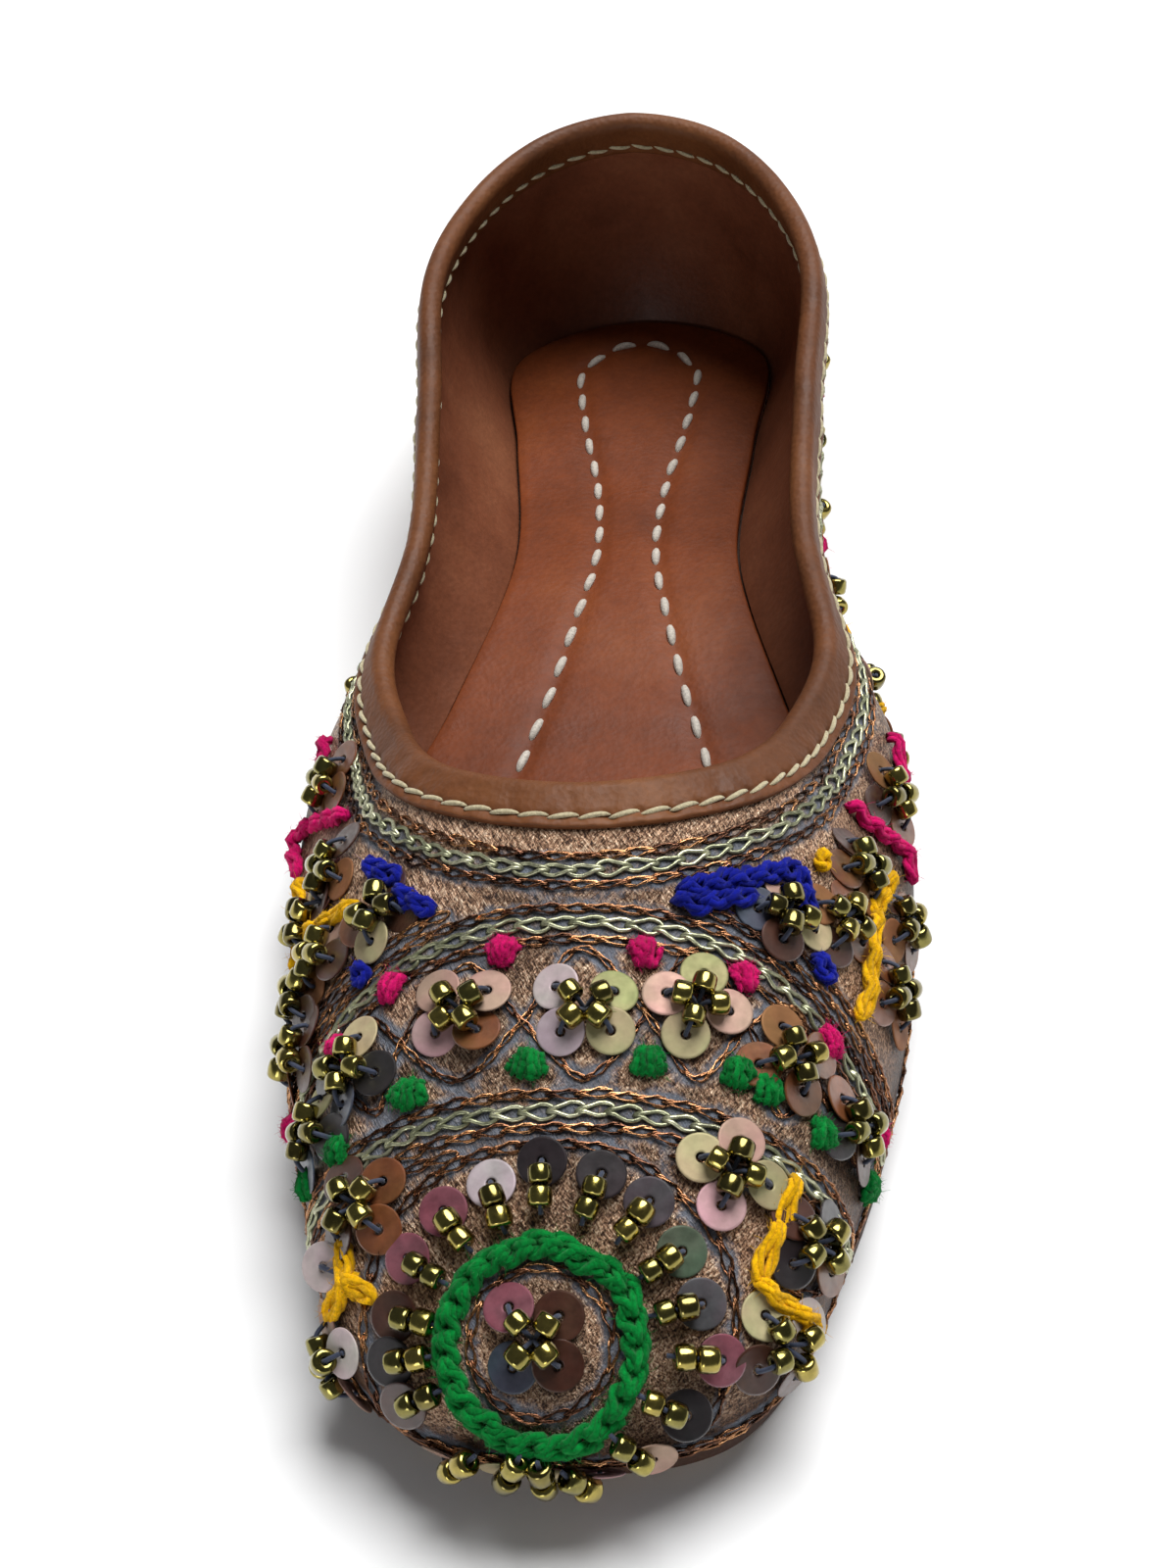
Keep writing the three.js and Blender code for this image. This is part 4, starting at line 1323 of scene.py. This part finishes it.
# Copper rows beside the gold across the foot: its line, mm towards the toe, and the shares of the
# line from which and to which a row runs, if not all of it
CROSS_ROWS = (
    ("vamp", -2.1, None), ("vamp", 2.2, None), ("toe", -2.1, None), ("toe", 2.1, None),
    ("vamp", -4.2, (0, 0.36)), ("toe", 4.2, (0, 0.36)),
    ("vamp", -4.2, (0.64, 1)), ("toe", 4.2, (0.64, 1)),
    ("vamp", -6.3, (0, 0.27)), ("vamp", -6.3, (0.73, 1)),
)
# Tufts: which way they widen, 1 for down the photograph, and their length and width in mm
TUFTS = {"pink": (-1, 4.2, 4.4), "green": (1, 4.1, 5.4)}


def chain_wool(wool, colour, route, fuzz=FILLING_FUZZ):
    wool.chain(route, *WOOL_CHAINS[colour], colour, fuzz)


# Places on the quarters, evenly spaced round the heel, at a share of the wall's height
def quarter(steps, rise):
    laps = np.linspace(-CHEVRONS["lap"], CHEVRONS["lap"], 300)
    gone = Route.lengths(wall(laps, np.full(len(laps), CHEVRONS["flower"])))
    turns = np.interp(np.asarray(steps) * gone[-1] / CHEVRONS["count"], gone, laps)
    return wall(turns, np.full(len(turns), rise))


# Sewn lines: gold braids, and copper chains along the edges, over the vamp and in waves between
def sewn_lines():
    collar, cross = collar_route(0), {"vamp": cross_route(**BRAID_VAMP), "toe": cross_route(**BRAID_TOE)}
    edging = [collar_route(shift) for shift in COLLAR_ROWS] + [feather_route(rise) for rise in FEATHER_ROWS]
    chains = []
    for name, shift, share in CROSS_ROWS:
        row = cross[name].beside(shift)
        chains.append(row.part(*share) if share else row)
    chains += [seen_route(marks) for marks in SEEN_COPPER] + [ring_route(RING["radius"] - RING_ROW)]
    first, last = BAND_ENDS
    waves = []
    for up, down in ((BAND_TOPS, BAND_BOTTOMS), (BAND_BOTTOMS, BAND_TOPS)):
        marks = [first]
        for i, crossing in enumerate(BAND_CROSSINGS):
            marks.append(crossing)
            if i < len(BAND_TOPS):
                marks.append((up if i % 2 else down)[i])
        waves.append(seen_route(marks + [last]))
    return [collar, *cross.values()], edging, chains, waves


def make_embroidery(sewn, gold, edging, chains, waves):
    for name, node, route in zip(("collar_tilla", "vamp_tilla", "toe_tilla"),
                                 ("braid_collar", "braid_vamp", "braid_toe"), gold):
        braid(name, node, route)
    for name, routes, link in (
            ("copper_edging", edging, COPPER_LINK), ("copper_chains", chains, COPPER_LINK),
            ("copper_waves", waves, WAVE_LINK)):
        build = Build()
        for route in routes:
            copper(build, route, link)
        build.make(name, [COPPER], "gold_thread")

    ring = Wool()
    chain_wool(ring, "green", ring_route(RING["radius"]), RING_FUZZ)
    ring.make("wool_ring", "green_wool", ["toe_ring"])

    wool, trim = Wool(), Trim(sewn)
    for colour, pixels in SEEN_KNOTS.items():
        way, long, wide = TUFTS[colour]
        for at, normal in zip(*seen(pixels)):
            wool.tuft(at, normal, way * PHOTO_DOWN, long, wide, colour)
    for colour, chains_seen in SEEN_WOOL.items():
        for pixels in chains_seen:
            chain_wool(wool, colour, seen_route(pixels))
    for pixel, spin, names in SEEN_FLOWERS:
        (at,), (normal,) = seen(pixel)
        trim.flower(at, normal, spin, names)
    for pixel, lean, name in LONE_SEQUINS:
        (at,), (normal,) = seen(pixel)
        trim.lone(at, normal, lean, name)
    for pixel, name in RING_RAYS:
        (at,), (normal,) = seen(pixel)
        trim.ray(at, normal, name)
    for i in range(CHEVRONS["count"]):
        (apex,), arms = quarter([i + 0.5], CHEVRONS["low"]), quarter([i, i + 1], CHEVRONS["high"])
        for arm in arms:
            line = through([arm, on_wall((arm + apex) / 2)[0][0], apex])
            chain_wool(wool, CHEVRON_COLOURS[i % 2], Route(line))
        for step, rise in ((i + 0.5, CHEVRONS["flower"]), (i + 1, CHEVRONS["between"])):
            (at,), (normal,) = on_wall(quarter([step], rise))
            names = QUARTER_TINTS[(i + (step > i + 0.5)) % 3]
            trim.flower(at, normal, rng.uniform(0, 90), names, CHEVRONS["reach"])
    wool.make("wool_fillings", "green_wool")
    trim.make()


# Floor, light and camera
FLOOR_HALF = 20.0  # metres


def make_stage():
    mesh = bpy.data.meshes.new("floor")
    corners = [(x * FLOOR_HALF, y * FLOOR_HALF, 0) for x, y in ((-1, -1), (1, -1), (1, 1), (-1, 1))]
    mesh.from_pydata(corners, [], [(0, 1, 2, 3)])
    n = Nodes("floor_pale")
    n.set(Base_Color=n.drift(3, srgb(236, 236, 236), srgb(240, 240, 240), 2, 0.5), Roughness=0.8)
    mesh.materials.append(n.material)
    new_object("floor", mesh)


# Far soft light: where it comes from, how wide it looks in degrees, and its strength
def make_light(name, place, width, strength):
    data = bpy.data.lights.new(name, "SUN")
    data.energy, data.angle = strength, math.radians(width)
    light = new_object(name, data)
    light.location = place
    light.rotation_euler = (-Vector(place)).to_track_quat("-Z", "Y").to_euler()


# Dim studio above, pale near the horizon: height and colour
HORIZON = (0.06, (0.88, 0.89, 0.91, 1))
ZENITH = (0.18, (0.105, 0.108, 0.113, 1))


def make_world():
    world = bpy.data.worlds.new("studio")
    world.use_nodes = True
    tree = world.node_tree
    height = tree.nodes.new("ShaderNodeSeparateXYZ")
    tree.links.new(tree.nodes.new("ShaderNodeTexCoord").outputs["Generated"], height.inputs[0])
    ramp = tree.nodes.new("ShaderNodeValToRGB")
    tree.links.new(height.outputs["Z"], ramp.inputs[0])
    for end, (height_share, colour) in zip(ramp.color_ramp.elements, (HORIZON, ZENITH)):
        end.position, end.color = height_share, colour
    tree.links.new(ramp.outputs[0], tree.nodes["Background"].inputs["Color"])
    bpy.context.scene.world = world


def make_camera():
    data = bpy.data.cameras.new("camera")
    data.sensor_width = 36
    data.lens = data.sensor_width * PHOTO_FOCAL / PHOTO_HEIGHT * SHOE_SHARE * PHOTO_HEIGHT / SHOE_TALL
    data.clip_start, data.clip_end = 0.01, 20
    camera = new_object("camera", data)
    back = Vector(-sight(SHOE_MIDDLE)[0])
    right = Vector(-PHOTO_DOWN).cross(back).normalized()
    axes = Matrix((right, back.cross(right), back)).transposed()
    camera.matrix_world = Matrix.Translation(Vector(PHOTO_PLACE) * MM) @ axes.to_4x4()
    bpy.context.scene.camera = camera


make_camera()
make_stage()
make_light("key", place=(0.2, 0.36, 0.82), width=44, strength=4.7)
make_light("fill_front", place=(-0.2, -0.85, 0.1), width=24, strength=0.8)
make_world()
bpy.context.scene.view_settings.view_transform = "Standard"

lines = sewn_lines()
sewn = Sewn(sum(lines, []))
make_upper(sewn)
make_binding()
make_insole()
make_outsole()
make_embroidery(sewn, *lines)
